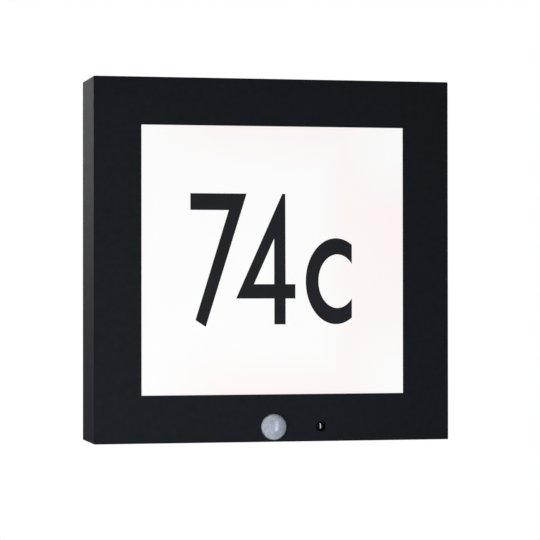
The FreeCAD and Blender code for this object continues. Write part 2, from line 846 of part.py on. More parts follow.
def earth_lug():
    """A ring terminal with its barrel above the stud."""
    front = "lug_rear + lug_gauge"
    top = "earth_up + lug_tongue + lug_barrel_length"
    ring = rod("lug_ring", "lug_radius", "lug_rear", front, "earth_across", "earth_up")
    tongue = brick("lug_tongue", "earth_across - lug_barrel_radius", "earth_across + lug_barrel_radius",
                   "lug_rear", front, "earth_up", top)
    barrel = solid("Part::Cylinder", "lug_barrel", Radius="lug_barrel_radius", Height="lug_barrel_length")
    place(barrel, "earth_across", "lug_axis", "earth_up + lug_tongue", UPWARD)
    bore = solid("Part::Cylinder", "lug_bore", Radius="lead_radius + thread_fit", Height="lug_barrel_length")
    place(bore, "earth_across", "lug_axis", "earth_up + lug_tongue", UPWARD)
    hole = rod("lug_hole", "earth_stud_radius + thread_fit", "lug_rear", front, "earth_across", "earth_up")
    return cut("earth_lug", joined("lug_blank", [ring, tongue, barrel]), joined("lug_tools", [bore, hole]))


def earth_nuts():
    """A washer and a nut on the earth stud."""
    rear = "lug_rear + lug_gauge"
    front = "lug_rear + lug_gauge + washer_gauge"
    blank = rod("washer_blank", "washer_radius", rear, front, "earth_across", "earth_up")
    hole = rod("washer_hole", "earth_stud_radius + thread_fit", rear, front, "earth_across", "earth_up")
    washer = cut("earth_washer", blank, hole)
    cap = nut("earth_nut", "earth_across", front, "earth_up", "earth_nut_radius", "earth_nut_depth",
              "earth_stud_radius + thread_fit")
    return group("earth_nuts", [washer, cap])


# Base: driver

def driver_box(inset):
    """The driver's outline, less an inset."""
    return box(f"driver_left + {inset}", f"driver_right - {inset}",
               f"driver_low + {inset}", f"driver_high - {inset}")


def driver_base():
    body = piece("driver_base")
    raised(body, "case", "plate_gauge", "driver_seam", driver_box("0"))
    sunk(body, "hollow", "plate_gauge + driver_wall", "driver_seam", driver_box("driver_wall"))
    ears = [box("driver_left - ear_length", "driver_left + driver_wall", "ear_low", "ear_high"),
            box("driver_right - driver_wall", "driver_right + ear_length", "ear_low", "ear_high")]
    raised(body, "ears", "plate_gauge", "ear_front", *ears)
    holes = [disc(across, up, "plate_screw_radius + thread_fit") for across, up in driver_screw_places()]
    sunk(body, "ear_holes", "plate_gauge", "ear_front", *holes)
    inset = "driver_wall + driver_board_play + driver_boss_radius"
    bosses = [disc(across, up, "driver_boss_radius")
              for across in (f"driver_left + {inset}", f"driver_right - ({inset})")
              for up in (f"driver_low + {inset}", f"driver_high - ({inset})")]
    raised(body, "bosses", "plate_gauge + driver_wall", "driver_board_rear", *bosses)
    entries = [disc("-lead_reach", up, "lead_radius + thread_fit") for up in driver_lead_levels()]
    sunk(body, "entries", "driver_left", "driver_right", *entries, plane="YZ_Plane")
    return body


def driver_lead_levels():
    """Heights at which the leads pass through the driver's ends."""
    return ["driver_up - driver_lead_below", "driver_up + driver_lead_above"]


def driver_lid():
    body = piece("driver_lid")
    raised(body, "case", "driver_seam", "driver_front", driver_box("0"))
    sunk(body, "hollow", "driver_seam", "driver_front - driver_wall", driver_box("driver_wall"))
    return body


def driver_board():
    """The driver's board with the parts soldered to it."""
    inset = "(driver_wall + driver_board_play)"
    board = brick("driver_card", f"driver_left + {inset}", f"driver_right - {inset}", "driver_board_rear",
                  "driver_board_front", f"driver_low + {inset}", f"driver_high - {inset}")
    room = "(driver_front - driver_wall - driver_board_front)"
    parts = [board]
    for along, up, length, height, depth in BOX_SHARES:
        across = f"driver_across + driver_length * {along}"
        level = f"driver_up + driver_height * {up}"
        half_length = f"driver_length * {length} / 2"
        half_height = f"driver_height * {height} / 2"
        parts.append(brick("driver_part", f"{across} - {half_length}", f"{across} + {half_length}",
                           "driver_board_front", f"driver_board_front + {room} * {depth}",
                           f"{level} - {half_height}", f"{level} + {half_height}"))
    for along, up, radius, depth in CAN_SHARES:
        parts.append(rod("driver_can", f"driver_length * {radius}", "driver_board_front",
                         f"driver_board_front + {room} * {depth}",
                         f"driver_across + driver_length * {along}", f"driver_up + driver_height * {up}"))
    return group("driver_board", parts)


def driver_screws():
    screws = [screw("driver_screw", across, "ear_front", up, "plate_head_radius", "plate_head_height",
                    "plate_screw_radius", "ear_front - seat_gap") for across, up in driver_screw_places()]
    return group("driver_screws", screws)


# Base: light-strip carrier, spacers, reflector and strips

def row_level(index):
    """Height of one light strip's middle line."""
    return f"top_row * {ROWS - 1 - 2 * index} / {ROWS - 1}"


def strip_screw_offsets():
    """Places of a strip's screws along it, midway between chips."""
    pitches = CHIPS_PER_ROW - 1
    return [f"{side} * (strip_half - chip_inset) * {pitches - 1} / {pitches}" for side in SIDES]


def led_carrier():
    body = piece("led_carrier")
    raised(body, "sheet", "carrier_rear", "carrier_front", square("carrier_half"))
    holes = [disc(across, up, "carrier_screw_radius + thread_fit") for across, up in corners("spacer_place")]
    holes += [disc("-(reflector_inner - lead_hole_inset)", f"{side} * lead_hole_up", "lead_hole_radius")
              for side in SIDES]
    holes += [disc(across, row_level(index), "plate_screw_radius + thread_fit")
              for index in range(ROWS) for across in strip_screw_offsets()]
    sunk(body, "holes", "carrier_rear", "carrier_front", *holes)
    return body


def carrier_spacers():
    spacers = [nut("spacer", across, "plate_gauge", up, "spacer_radius", "carrier_rear - plate_gauge",
                   "carrier_screw_radius + thread_fit") for across, up in corners("spacer_place")]
    return group("carrier_spacers", spacers)


def carrier_screws():
    screws = [screw("carrier_screw", across, "carrier_front + reflector_gauge", up, "carrier_head_radius",
                    "carrier_head_height", "carrier_screw_radius", "carrier_screw_length")
              for across, up in corners("spacer_place")]
    return group("carrier_screws", screws)


def reflector_frame():
    body = piece("reflector_frame")
    tapered(body, "PartDesign::AdditiveLoft", "funnel", "carrier_front", "reflector_back",
            "reflector_front", "reflector_mouth")
    tapered(body, "PartDesign::SubtractiveLoft", "hollow", "carrier_front + reflector_gauge",
            "reflector_back - reflector_gauge", "reflector_front", "reflector_mouth - reflector_gauge")
    front = "carrier_front + reflector_gauge"
    sunk(body, "opening", "carrier_front", front, square("reflector_inner"))
    holes = [disc(across, up, "carrier_screw_radius + thread_fit") for across, up in corners("spacer_place")]
    sunk(body, "screw_holes", "carrier_front", front, *holes)
    return body


def led_strip(index):
    body = piece(f"led_strip_{index + 1}")
    level = row_level(index)
    raised(body, "card", "carrier_front", "strip_front",
           box("-strip_half", "strip_half", f"{level} - strip_width / 2", f"{level} + strip_width / 2"))
    holes = [disc(across, level, "plate_screw_radius + thread_fit") for across in strip_screw_offsets()]
    sunk(body, "holes", "carrier_front", "strip_front", *holes)
    return body


def led_chips():
    chips = []
    pitches = CHIPS_PER_ROW - 1
    for index in range(ROWS):
        level = row_level(index)
        for number in range(CHIPS_PER_ROW):
            across = f"(strip_half - chip_inset) * {2 * number - pitches} / {pitches}"
            chips.append(brick("chip", f"{across} - chip_length / 2", f"{across} + chip_length / 2",
                               "strip_front", "strip_front + chip_gauge",
                               f"{level} - chip_width / 2", f"{level} + chip_width / 2"))
    return group("led_chips", chips)


def strip_screws():
    screws = [screw("strip_screw", across, "strip_front", row_level(index), "strip_head_radius",
                    "strip_head_height", "plate_screw_radius", "strip_gauge + carrier_gauge - seat_gap")
              for index in range(ROWS) for across in strip_screw_offsets()]
    return group("strip_screws", screws)


def jumper_leads():
    """Short leads that link each strip to the next one at their right ends."""
    jumpers = []
    reach = "strip_front + led_lead_radius + thread_fit"
    edge = "(strip_width / 2 - jumper_bite)"
    for index in range(ROWS - 1):
        low = f"{row_level(index + 1)} + {edge}"
        jumper = solid("Part::Cylinder", "jumper", Radius="led_lead_radius",
                       Height=f"{row_level(index)} - {edge} - ({low})")
        jumpers.append(place(jumper, "strip_half - jumper_inset", reach, low, UPWARD))
    return group("jumper_leads", jumpers)


# Base: leads and clips

def tube(label, radius, points):
    """A lead along straight runs joined by arcs, each as large as its two runs allow."""
    stops = [FreeCAD.Vector(measure(across), -measure(reach), measure(up)) for across, reach, up in points]
    edges = []
    start = stops[0]
    for before, corner, after in zip(stops, stops[1:], stops[2:]):
        back = before - corner
        ahead = after - corner
        half_turn = (math.pi - back.getAngle(ahead)) / 2
        tangent = BEND_SHARE * min(back.Length, ahead.Length)
        bend = tangent / math.tan(half_turn)
        back.normalize()
        ahead.normalize()
        inward = back + ahead
        inward.normalize()
        entry = corner + back * tangent
        middle = corner + inward * (bend / math.cos(half_turn) - bend)
        leave = corner + ahead * tangent
        edges.append(Part.makeLine(start, entry))
        edges.append(Part.Arc(entry, middle, leave).toShape())
        start = leave
    edges.append(Part.makeLine(start, stops[-1]))
    route = Part.Wire(edges)
    ring = Part.Wire([Part.makeCircle(measure(radius), stops[0], stops[1] - stops[0])])
    lead = document.addObject("Part::Feature", label)
    lead.Shape = route.makePipeShell([ring], True, False)
    return lead


def supply_leads():
    """Live and neutral, from the terminal block into the driver's right end."""
    leads = []
    for label, across, level in zip(("live_lead", "neutral_lead"), pole_places(), driver_lead_levels()):
        points = [(across, "lead_reach", "terminal_high - lead_bite"), (across, "lead_reach", level),
                  ("driver_right - lead_bite", "lead_reach", level)]
        leads.append(tube(label, "lead_radius", points))
    return leads


def earth_lead():
    pole = pole_places()[-1]
    points = [(pole, "lead_reach", "terminal_high - lead_bite"),
              (pole, "lead_reach", "6"),
              ("earth_across", "lead_reach", "6"),
              ("earth_across", "lug_axis", "-5"),
              ("earth_across", "lug_axis", "earth_up + lug_tongue + 1")]
    return tube("earth_lead", "lead_radius", points)


def led_leads():
    """From the driver's left end, through the carrier, to the two middle strips."""
    leads = []
    hole = "-(reflector_inner - lead_hole_inset)"
    turns = [("led_lead_red", 1, "red_turn"), ("led_lead_black", -1, "black_turn")]
    for (label, side, turn), height in zip(turns, driver_lead_levels()):
        row = f"{side} * top_row / {ROWS - 1}"
        level = f"{side} * lead_hole_up"
        points = [("driver_left + lead_bite", "lead_reach", height),
                  (turn, "lead_reach", height),
                  (turn, "lead_reach", level),
                  (hole, "lead_reach", level),
                  (hole, "strip_front + 2", level),
                  (hole, "strip_front + 2", f"{side} * 16"),
                  ("-(strip_half - jumper_bite)", "strip_front + led_lead_radius + thread_fit",
                   f"{row} - {side} * jumper_inset")]
        leads.append(tube(label, "led_lead_radius", points))
    return leads


def sensor_lead():
    """From the plug behind the sensor board, under the carrier, to the terminal block."""
    points = [("plug_across", "sensor_rear - plug_depth", "board_middle"),
              ("plug_across", "12", "board_middle"),
              ("plug_across + 6", "lead_reach", "bay_top + 23"),
              ("terminal_across", "lead_reach", "sensor_clip_up - 22"),
              ("terminal_across", "lead_reach", "terminal_low + lead_bite")]
    return tube("sensor_lead", "lead_radius", points)


def lead_clips():
    """Saddles on the wall plate that hold the leads where they run up and down."""
    live, neutral, earth = pole_places()
    places = [(live, "supply_clip_up"), (neutral, "supply_clip_up"), (earth, "earth_clip_up"),
              ("terminal_across", "sensor_clip_up"), ("red_turn", "led_clip_up"),
              ("black_turn", "led_clip_up")]
    clips = []
    half = "(lead_radius + clip_wall)"
    for across, middle in places:
        saddle = brick("clip_block", f"{across} - {half}", f"{across} + {half}",
                       "plate_gauge", f"lead_reach + {half}",
                       f"{middle} - clip_length / 2", f"{middle} + clip_length / 2")
        bore = solid("Part::Cylinder", "clip_bore", Radius="lead_radius + thread_fit", Height="clip_length")
        place(bore, across, "lead_reach", f"{middle} - clip_length / 2", UPWARD)
        clips.append(cut("clip", saddle, bore))
    return group("lead_clips", clips)


# Base: sensor bracket and board

def sensor_bracket():
    """A hat-shaped channel that carries the sensor board close behind the front."""
    body = piece("sensor_bracket")
    inner = "bracket_half - bracket_gauge"
    half_section = [(inner, "plate_gauge"), ("bracket_half + bracket_foot", "plate_gauge"),
                    ("bracket_half + bracket_foot", "plate_gauge + bracket_gauge"),
                    ("bracket_half", "plate_gauge + bracket_gauge"), ("bracket_half", "sensor_rear")]
    roof = [(inner, "sensor_rear - bracket_gauge")]
    right = roof + half_section
    left = [(f"-({across})", reach) for across, reach in reversed(right)]
    raised(body, "channel", "bracket_low", "bay_top",
           path([(across, f"-({reach})") for across, reach in right + left]), plane="XY_Plane")
    wide = "bracket_half + bracket_foot + overrun"
    sunk(body, "foot_trim", "0", "border_front + sheet_fit",
         box(f"-({wide})", wide, "bracket_low - overrun", "-(pan_inside - sheet_fit)"))
    table = "sensor_rear - bracket_gauge"
    half_wide = "(plug_width / 2 + bracket_window_play)"
    half_tall = "(plug_height / 2 + bracket_window_play)"
    sunk(body, "plug_window", table, "sensor_rear",
         box(f"plug_across - {half_wide}", f"plug_across + {half_wide}",
             f"board_middle - {half_tall}", f"board_middle + {half_tall}"))
    threads = [disc(across, up, "board_screw_radius + thread_fit") for across, up in board_screw_places()]
    sunk(body, "board_threads", table, "sensor_rear", *threads)
    holes = [disc(across, up, "plate_screw_radius + thread_fit") for across, up in bracket_screw_places()]
    sunk(body, "foot_holes", "plate_gauge", "plate_gauge + bracket_gauge", *holes)
    return body


def bracket_screws():
    seat = "plate_gauge + bracket_gauge"
    screws = [screw("bracket_screw", across, seat, up, "plate_head_radius", "plate_head_height",
                    "plate_screw_radius", f"{seat} - seat_gap") for across, up in bracket_screw_places()]
    return group("bracket_screws", screws)


def board_screw_places():
    """Places of the sensor board's four screws."""
    levels = ["board_low + board_screw_inset", "board_high - board_screw_inset"]
    return [(f"{side} * board_screw_across", level) for side in SIDES for level in levels]


def sensor_board():
    body = piece("sensor_board")
    raised(body, "card", "sensor_rear", "sensor_front",
           box("-sensor_board_half", "sensor_board_half", "board_low", "board_high"))
    holes = [disc(across, up, "board_screw_radius + thread_fit") for across, up in board_screw_places()]
    sunk(body, "holes", "sensor_rear", "sensor_front", *holes)
    return body


def board_screws():
    screws = [screw("board_screw", across, "sensor_front", up, "board_head_radius", "board_head_height",
                    "board_screw_radius", "sensor_board_gauge + bracket_gauge")
              for across, up in board_screw_places()]
    return group("board_screws", screws)


def sensor_cup():
    """The ring on the board that the motion lens stands on."""
    wall = rod("cup_wall", "lens_flange_radius", "sensor_front", "lens_rear", "0", "dome_up")
    hollow = rod("cup_hollow", "lens_flange_radius - cup_gauge", "sensor_front", "lens_rear", "0", "dome_up")
    return cut("sensor_cup", wall, hollow)


def pir_lens():
    """The motion lens: a half sphere on a short skirt with a foot flange."""
    def bell(name, radius):
        dome = solid("Part::Sphere", f"{name}_dome", Radius=radius)
        dome.Angle1 = 0
        place(dome, "0", "dome_middle", "dome_up")
        return joined(name, [dome, rod(f"{name}_skirt", radius, "lens_rear", "dome_middle", "0", "dome_up")])
    flange = rod("lens_flange", "lens_flange_radius", "lens_rear", "lens_skirt_rear", "0", "dome_up")
    outer = joined("lens_body", [bell("lens_outer", "dome_radius"), flange])
    return cut("pir_lens", outer, bell("lens_inner", "dome_radius - lens_gauge"))


def pyro_detector():
    """The infrared detector's can with the recess of its filter window."""
    front = "sensor_front + pyro_depth"
    can = rod("pyro_can", "pyro_radius", "sensor_front", front, "0", "dome_up")
    window = brick("pyro_filter", "-pyro_window / 2", "pyro_window / 2",
                   f"{front} - pyro_window_depth", front,
                   "dome_up - pyro_window / 2", "dome_up + pyro_window / 2")
    return cut("pyro_detector", can, window)


def sensor_relay():
    return brick("sensor_relay", "relay_across - relay_width / 2", "relay_across + relay_width / 2",
                 "sensor_front", "sensor_front + relay_depth",
                 "board_middle - relay_height / 2", "board_middle + relay_height / 2")


def sensor_plug():
    return brick("sensor_plug", "plug_across - plug_width / 2", "plug_across + plug_width / 2",
                 "sensor_rear - plug_depth", "sensor_rear",
                 "board_middle - plug_height / 2", "board_middle + plug_height / 2")


def photo_cell():
    return rod("photo_cell", "cell_radius", "sensor_front", "sensor_front + cell_depth",
               "daylight_across", "dome_up")


def daylight_lens():
    """The light guide over the photo cell, its end flush with the sheet's inner face."""
    body = piece("daylight_lens")
    raised(body, "foot", "sensor_front", "sensor_front + daylight_foot_gauge",
           disc("daylight_across", "dome_up", "daylight_foot_radius"))
    stem = raised(body, "stem", "sensor_front", "sheet_inside",
                  disc("daylight_across", "dome_up", "daylight_radius"))
    document.recompute()
    end = -measure("sheet_inside")
    rims = [f"Edge{number}" for number, edge in enumerate(stem.Shape.Edges, start=1)
            if all(abs(vertex.Y - end) < measure("daylight_round") for vertex in edge.Vertexes)]
    rounding = body.newObject("PartDesign::Fillet", "daylight_lens_round")
    rounding.Base = (stem, rims)
    rounding.setExpression("Radius", bound("daylight_round"))
    body.Tip = rounding
    sunk(body, "cell_room", "sensor_front", "sensor_front + cell_depth + running_fit",
         disc("daylight_across", "dome_up", "cell_radius + running_fit"))
    return body


# Base: setting knobs

def knob_place(index):
    """Place of one setting knob, across."""
    return f"-(first_knob + knob_pitch * {index})"


def knob_housings():
    housings = []
    front = "sensor_front + knob_housing_depth"
    half = "knob_housing_half"
    for index in range(len(KNOBS)):
        across = knob_place(index)
        shell = brick("knob_shell", f"{across} - {half}", f"{across} + {half}", "sensor_front", front,
                      f"board_middle - {half}", f"board_middle + {half}")
        well = rod("knob_well", "knob_radius + running_fit", "knob_well_floor", front, across, "board_middle")
        housings.append(cut("knob_housing", shell, well))
    return group("knob_housings", housings)


def setting_knob(index):
    """A round knob with a driver slot that is open at its upper end, as a pointer."""
    body = piece(KNOBS[index])
    across = knob_place(index)
    front = "knob_rear + knob_depth"
    raised(body, "disc", "knob_rear", front, disc(across, "board_middle", "knob_radius"))
    sunk(body, "slot", f"{front} - knob_slot_depth", front,
         box(f"{across} - knob_slot_width / 2", f"{across} + knob_slot_width / 2",
             f"board_middle - knob_radius * {KNOB_SLOT_SHARE}", "board_middle + knob_radius + overrun"))
    return body


# Making, checking and writing

def make_cover():
    sides = [retainer("retainer_top", 1, False), retainer_bottom(),
             retainer("retainer_left", -1, True), retainer("retainer_right", 1, True)]
    return [front_housing(), diffuser_gasket(), diffuser_panel(), *sides, retainer_studs(), retainer_nuts(),
            digit_seven(), digit_four(), letter_c()]


def make_base():
    plate = [wall_plate(), wall_gasket(), cable_grommet(), cover_screws(), cover_nuts()]
    supply = [terminal_block(), terminal_screws(), earth_stud(), earth_lug(), earth_nuts()]
    driver = [driver_base(), driver_lid(), driver_board(), driver_screws()]
    light = [led_carrier(), carrier_spacers(), carrier_screws(), reflector_frame(), led_chips(),
             strip_screws(), jumper_leads()]
    strips = [led_strip(index) for index in range(ROWS)]
    leads = [*supply_leads(), earth_lead(), *led_leads(), sensor_lead(), lead_clips()]
    sensor = [sensor_bracket(), bracket_screws(), sensor_board(), board_screws(), sensor_cup(), pir_lens(),
              pyro_detector(), sensor_relay(), sensor_plug(), photo_cell(), daylight_lens(), knob_housings()]
    return plate + supply + driver + light + strips + leads + sensor


def check(parts):
    """Stop if anything failed, if a pocket removed nothing, or if a sub-part isn't sound."""
    for thing in document.Objects:
        if "Invalid" in thing.State or "Error" in thing.State:
            raise RuntimeError(f"{thing.Name} failed: {thing.State}")
        if thing.TypeId == "PartDesign::Pocket":
            if thing.Shape.Volume >= thing.BaseFeature.Shape.Volume:
                raise RuntimeError(f"{thing.Name} removed nothing")
    for part in parts:
        if part.Shape.isNull() or not part.Shape.isValid():
            raise RuntimeError(f"{part.Label} isn't sound")


parts = make_cover() + make_base() + [setting_knob(index) for index in range(len(KNOBS))]
document.recompute()
check(parts)
os.makedirs("parts", exist_ok=True)
for part in parts:
    part.Shape.exportStep(f"parts/{part.Label}.step")
print(len(parts), "sub-parts,", sum(len(part.Shape.Solids) for part in parts), "solids")
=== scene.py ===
import json
import math
from types import SimpleNamespace as Values

import bmesh
import bpy
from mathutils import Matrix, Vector


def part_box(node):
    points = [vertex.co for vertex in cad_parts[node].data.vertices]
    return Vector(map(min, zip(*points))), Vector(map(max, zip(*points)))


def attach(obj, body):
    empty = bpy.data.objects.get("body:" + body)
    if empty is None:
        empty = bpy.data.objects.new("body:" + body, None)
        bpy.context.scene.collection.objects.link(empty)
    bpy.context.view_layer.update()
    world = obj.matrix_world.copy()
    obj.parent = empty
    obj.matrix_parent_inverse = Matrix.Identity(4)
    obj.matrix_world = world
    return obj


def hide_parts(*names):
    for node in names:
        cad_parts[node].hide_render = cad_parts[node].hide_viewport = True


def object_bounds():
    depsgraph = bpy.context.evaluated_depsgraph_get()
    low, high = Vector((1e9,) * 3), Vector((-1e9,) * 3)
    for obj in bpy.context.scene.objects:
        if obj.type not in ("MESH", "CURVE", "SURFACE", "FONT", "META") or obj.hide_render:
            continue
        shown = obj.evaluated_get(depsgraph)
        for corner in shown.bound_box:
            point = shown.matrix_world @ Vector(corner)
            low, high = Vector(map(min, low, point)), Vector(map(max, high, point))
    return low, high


# Outdoor wall light, dressed over its CAD frame. Metres; +X right, +Y into the wall, +Z up.

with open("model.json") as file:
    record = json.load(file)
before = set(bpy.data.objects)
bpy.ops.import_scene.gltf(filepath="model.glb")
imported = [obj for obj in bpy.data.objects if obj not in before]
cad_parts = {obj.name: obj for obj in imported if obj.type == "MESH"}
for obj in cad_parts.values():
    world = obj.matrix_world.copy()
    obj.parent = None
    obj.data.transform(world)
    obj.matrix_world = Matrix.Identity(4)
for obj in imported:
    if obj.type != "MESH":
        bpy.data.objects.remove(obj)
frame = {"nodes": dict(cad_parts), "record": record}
cad_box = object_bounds()

MM_PER_METRE = 1000

# Values of the finishes. A grain is a noise scale per metre, and spangles and bricks are such scales
# too. A relief is in millimetres, and a pair of roughnesses is the range that the gloss wanders in.

# The plain finishes by material slot; tone is the share by which the colour varies
FINISHES = {
    "housing_paint": dict(colour=(0.0108, 0.0126, 0.0165), roughness=0.85, specular=0.011, grain=2600,
                          relief=0.02, tone=0.08),
    "film": dict(colour=(0.0088, 0.0096, 0.0130), roughness=0.65, specular=0.04, grain=900,
                 relief=0.004, tone=0.10),
    "foam": dict(colour=(0.035, 0.035, 0.038), roughness=0.95, specular=0.2, grain=1800, relief=0.25,
                 tone=0.35),
    "screw_steel": dict(colour=(0.66, 0.66, 0.64), roughness=0.30, metallic=1.0, grain=900, relief=0.01,
                        tone=0.08),
    "screw_black": dict(colour=(0.028, 0.029, 0.032), roughness=0.55, specular=0.12, grain=1500,
                        relief=0.01, tone=0.12),
    "grommet_rubber": dict(colour=(0.020, 0.020, 0.021), roughness=0.70, grain=1400, relief=0.02,
                           tone=0.15),
    "terminal_plastic": dict(colour=(0.70, 0.70, 0.67), roughness=0.42, grain=1200, relief=0.01,
                             tone=0.03, subsurface=0.15),
    "tin": dict(colour=(0.72, 0.72, 0.70), roughness=0.25, metallic=1.0, grain=700, relief=0.01,
                tone=0.08),
    "driver_plastic": dict(colour=(0.76, 0.76, 0.73), roughness=0.50, grain=2200, relief=0.03,
                           tone=0.03),
    "reflector_white": dict(colour=(0.82, 0.82, 0.81), roughness=0.45, grain=1800, relief=0.01,
                            tone=0.02),
    "strip_white": dict(colour=(0.82, 0.82, 0.80), roughness=0.30, grain=700, relief=0.01, tone=0.03),
    "phosphor": dict(colour=(0.85, 0.62, 0.12), roughness=0.50, grain=3000, relief=0.01, tone=0.10),
    "lead_brown": dict(colour=(0.13, 0.05, 0.02), roughness=0.42, grain=900, relief=0.01, tone=0.08),
    "lead_blue": dict(colour=(0.02, 0.11, 0.50), roughness=0.42, grain=900, relief=0.01, tone=0.08),
    "lead_red": dict(colour=(0.50, 0.02, 0.02), roughness=0.42, grain=900, relief=0.01, tone=0.08),
    "lead_black": dict(colour=(0.02, 0.02, 0.02), roughness=0.42, grain=900, relief=0.01, tone=0.10),
    "lead_grey": dict(colour=(0.35, 0.35, 0.35), roughness=0.48, grain=900, relief=0.01, tone=0.06),
    "clip_plastic": dict(colour=(0.78, 0.78, 0.76), roughness=0.45, grain=1500, relief=0.01, tone=0.03,
                         subsurface=0.1),
    "sensor_dark": dict(colour=(0.002, 0.002, 0.003), roughness=0.05, specular=0.09, grain=500,
                        relief=0.001, tone=0.10),
    "relay_plastic": dict(colour=(0.02, 0.10, 0.30), roughness=0.34, grain=1400, relief=0.003, tone=0.02),
    "knob_housing_plastic": dict(colour=(0.035, 0.035, 0.038), roughness=0.45, grain=1500, relief=0.01,
                                 tone=0.10),
    "knob_plastic": dict(colour=(0.80, 0.28, 0.05), roughness=0.40, grain=1500, relief=0.01, tone=0.05),
}
# What the plain finishes share: the part by which their roughness wanders, how many grains wide a
# patch of tone is, the detail of their grain, their specular level and how deep light goes into them
GLOSS_WANDER_SHARE = 0.08
PATCH_GRAINS = 14
PLAIN_GRAIN_DETAIL = 4.0
PLAIN_SPECULAR = 0.5
PLAIN_LIGHT_DEPTH = 0.002
# A noise texture's detail where none is given, and the range that most of what it gives lies in
NOISE_DETAIL = 2.0
NOISE_RANGE = (0.3, 0.7)

# Zinc-plated sheet; line_squeeze shrinks the noise's coordinates across, which draws it out into lines
ZINC = Values(dark=(0.42, 0.44, 0.47), pale=(0.52, 0.54, 0.56), roughness=(0.34, 0.48), spangles=150.0,
              grain=900, detail=3.0, line_squeeze=0.04, relief=0.01)
# Mill-finish sheet, whose lines are drawn out upwards
ALUMINIUM = Values(dark=(0.70, 0.70, 0.71), pale=(0.80, 0.80, 0.81), roughness=(0.24, 0.42), grain=1600,
                   detail=4.0, line_squeeze=0.03, relief=0.008)
# Circuit board: its tracks are the mortar of a brick texture, and show only where a noise is past the
# range of patches
BOARD = Values(bare=(0.012, 0.090, 0.035), track=(0.030, 0.170, 0.070), roughness=(0.22, 0.34),
               bricks=420.0, track_width=0.09, track_softness=0.2, row_offset=0.35, patch_grain=160,
               patches=(0.46, 0.50), gloss_grain=900, relief=0.03, lacquer=0.3)
# Earth lead: the stripe is where the surface faces forwards or back by more than stripe_facing
EARTH = Values(green=(0.03, 0.30, 0.04), yellow=(0.85, 0.72, 0.04), roughness=(0.38, 0.46),
               stripe_facing=(0.60, 0.64), gloss_grain=900, grain=1200, relief=0.01)
# Lit diffuser: how it glows, and its own colour under the glow, each plain and where it is warmer
OPAL = Values(glow=(0.92, 0.92, 0.92), warm_glow=(0.940, 0.815, 0.80), strength=0.922,
              body=(0.11, 0.11, 0.11), warm_body=(0.11, 0.103, 0.101), specular=0.06,
              roughness=(0.52, 0.60), gloss_grain=700, grain=1500, relief=0.004)
# Where it is warmer. The share grows with the height above or below the middle and towards the right,
# drifts a little, and is lost at the left and in the two right corners; ranges are in metres from the
# middle.
WARMTH = Values(height_share=0.52, height=(0.072, 0.110), right_share=0.40, right=(0.036, 0.060),
                drift=0.08, drift_grain=14.0, drift_detail=1.0, left=(-0.10, -0.04),
                corner_right=(0.060, 0.098), corner_height=(0.045, 0.085))
# Milky polyethylene of the motion lens: the colours of its dimmest and clearest cells, the clearest also
# painted rim light, and of the painted shade in the folds between them, its mottling, how much light goes
# into it, and how deep, with a factor for each colour
MILKY = Values(dim=(0.46, 0.51, 0.60), clear=(0.92, 0.95, 0.99), fold=(0.17, 0.21, 0.28),
               roughness=(0.18, 0.24), mottle=0.06, mottle_grain=1100, mottle_detail=3.0,
               specular=0.34, light_inside=0.75, light_depth=0.009, depth_factors=(1.1, 1.0, 0.7),
               groove_relief=0.0012)

# Motion lens

# Each ring of its cells: the ring's two angles from the tip in degrees, and the number of its cells
LENS_RINGS = ((0, 9, 1), (9, 22, 8), (22, 36, 14), (36, 50, 18), (50, 63, 22), (63, 74, 26))
LENS_RIM_ANGLE = LENS_RINGS[-1][1]
# A ring is turned by so many radians for each of its cells, so that the folds of rings don't line up
LENS_CELL_TURN = 0.3
# How deep the folds lie below a cell's crown, and the power that keeps the cell flat up to near them
LENS_CELL_DEPTH = 0.00004
LENS_CELL_SHARPNESS = 3.0
LENS_GROOVE_PITCH = 0.00042
# The wall, how far the flange stands out, and the skirt from the sphere's middle to the flange
LENS_GAUGE = 0.0008
LENS_LIP = 0.0002
LENS_SKIRT = 0.007
# Steps of the outside from the tip to the sphere's middle, and segments around
LENS_STEPS = 96
LENS_SEGMENTS = 264
# The inside is coarser: it starts some steps from the tip and has one step in so many of the outside's
LENS_INSIDE_START = 3
LENS_INSIDE_STRIDE = 6
# The tone of a cell: that of all cells, the part that changes from cell to cell in a wave over the
# rings' angles and the cells' numbers, and two parts of painted rim light that grow towards the rim, one
# of them late
CELL_TONE_AND_RIM_LIGHT = Values(all=0.06, wave=0.13, angle_step=1.7, cell_step=2.4, rim=0.15, late_rim=0.95)
# The painted shade in the folds of a cell: a part near all its edges and a part in its corners, each with
# the power by which it stays close to them, and the part of both that is lost at the rim
CELL_FOLD_SHADE = Values(edge=0.35, edge_power=6, corner=0.65, corner_power=3, rim_loss=0.6)
# What a point of a turned piece keeps where no lens cell is: groove distance, tone and painted fold
# shade.
# On the motion lens this full tone is painted rim light beyond the outer ring of cells.
PLAIN_LENS = (0.0, 1.0, 0.0)

# Daylight eye; its crown is an arc in steps of so many degrees, and its room is the bore at its foot

EYE_STEM_RADIUS = 0.0038
EYE_CROWN_RADIUS = 0.0060
EYE_CROWN_STEP = 2.5
EYE_CROWN_STEPS = 14
EYE_FOOT_GAUGE = 0.0012
EYE_ROOM_RADIUS = 0.0028
EYE_ROOM_DEPTH = 0.0019
EYE_SEGMENTS = 64

# Small parts on the sensor board, in millimetres: across and up at their middles, then their sizes
# across, up and off the board
BOARD_CHIP = (-30.0, -125.6, 5.0, 3.9, 1.5)
# How far its legs are from its middle, on both sides, and the size of a leg
CHIP_LEGS = (-1.905, -0.635, 0.635, 1.905)
CHIP_LEG = (0.42, 1.05, 0.22)
CHIP_BEVEL = 0.2
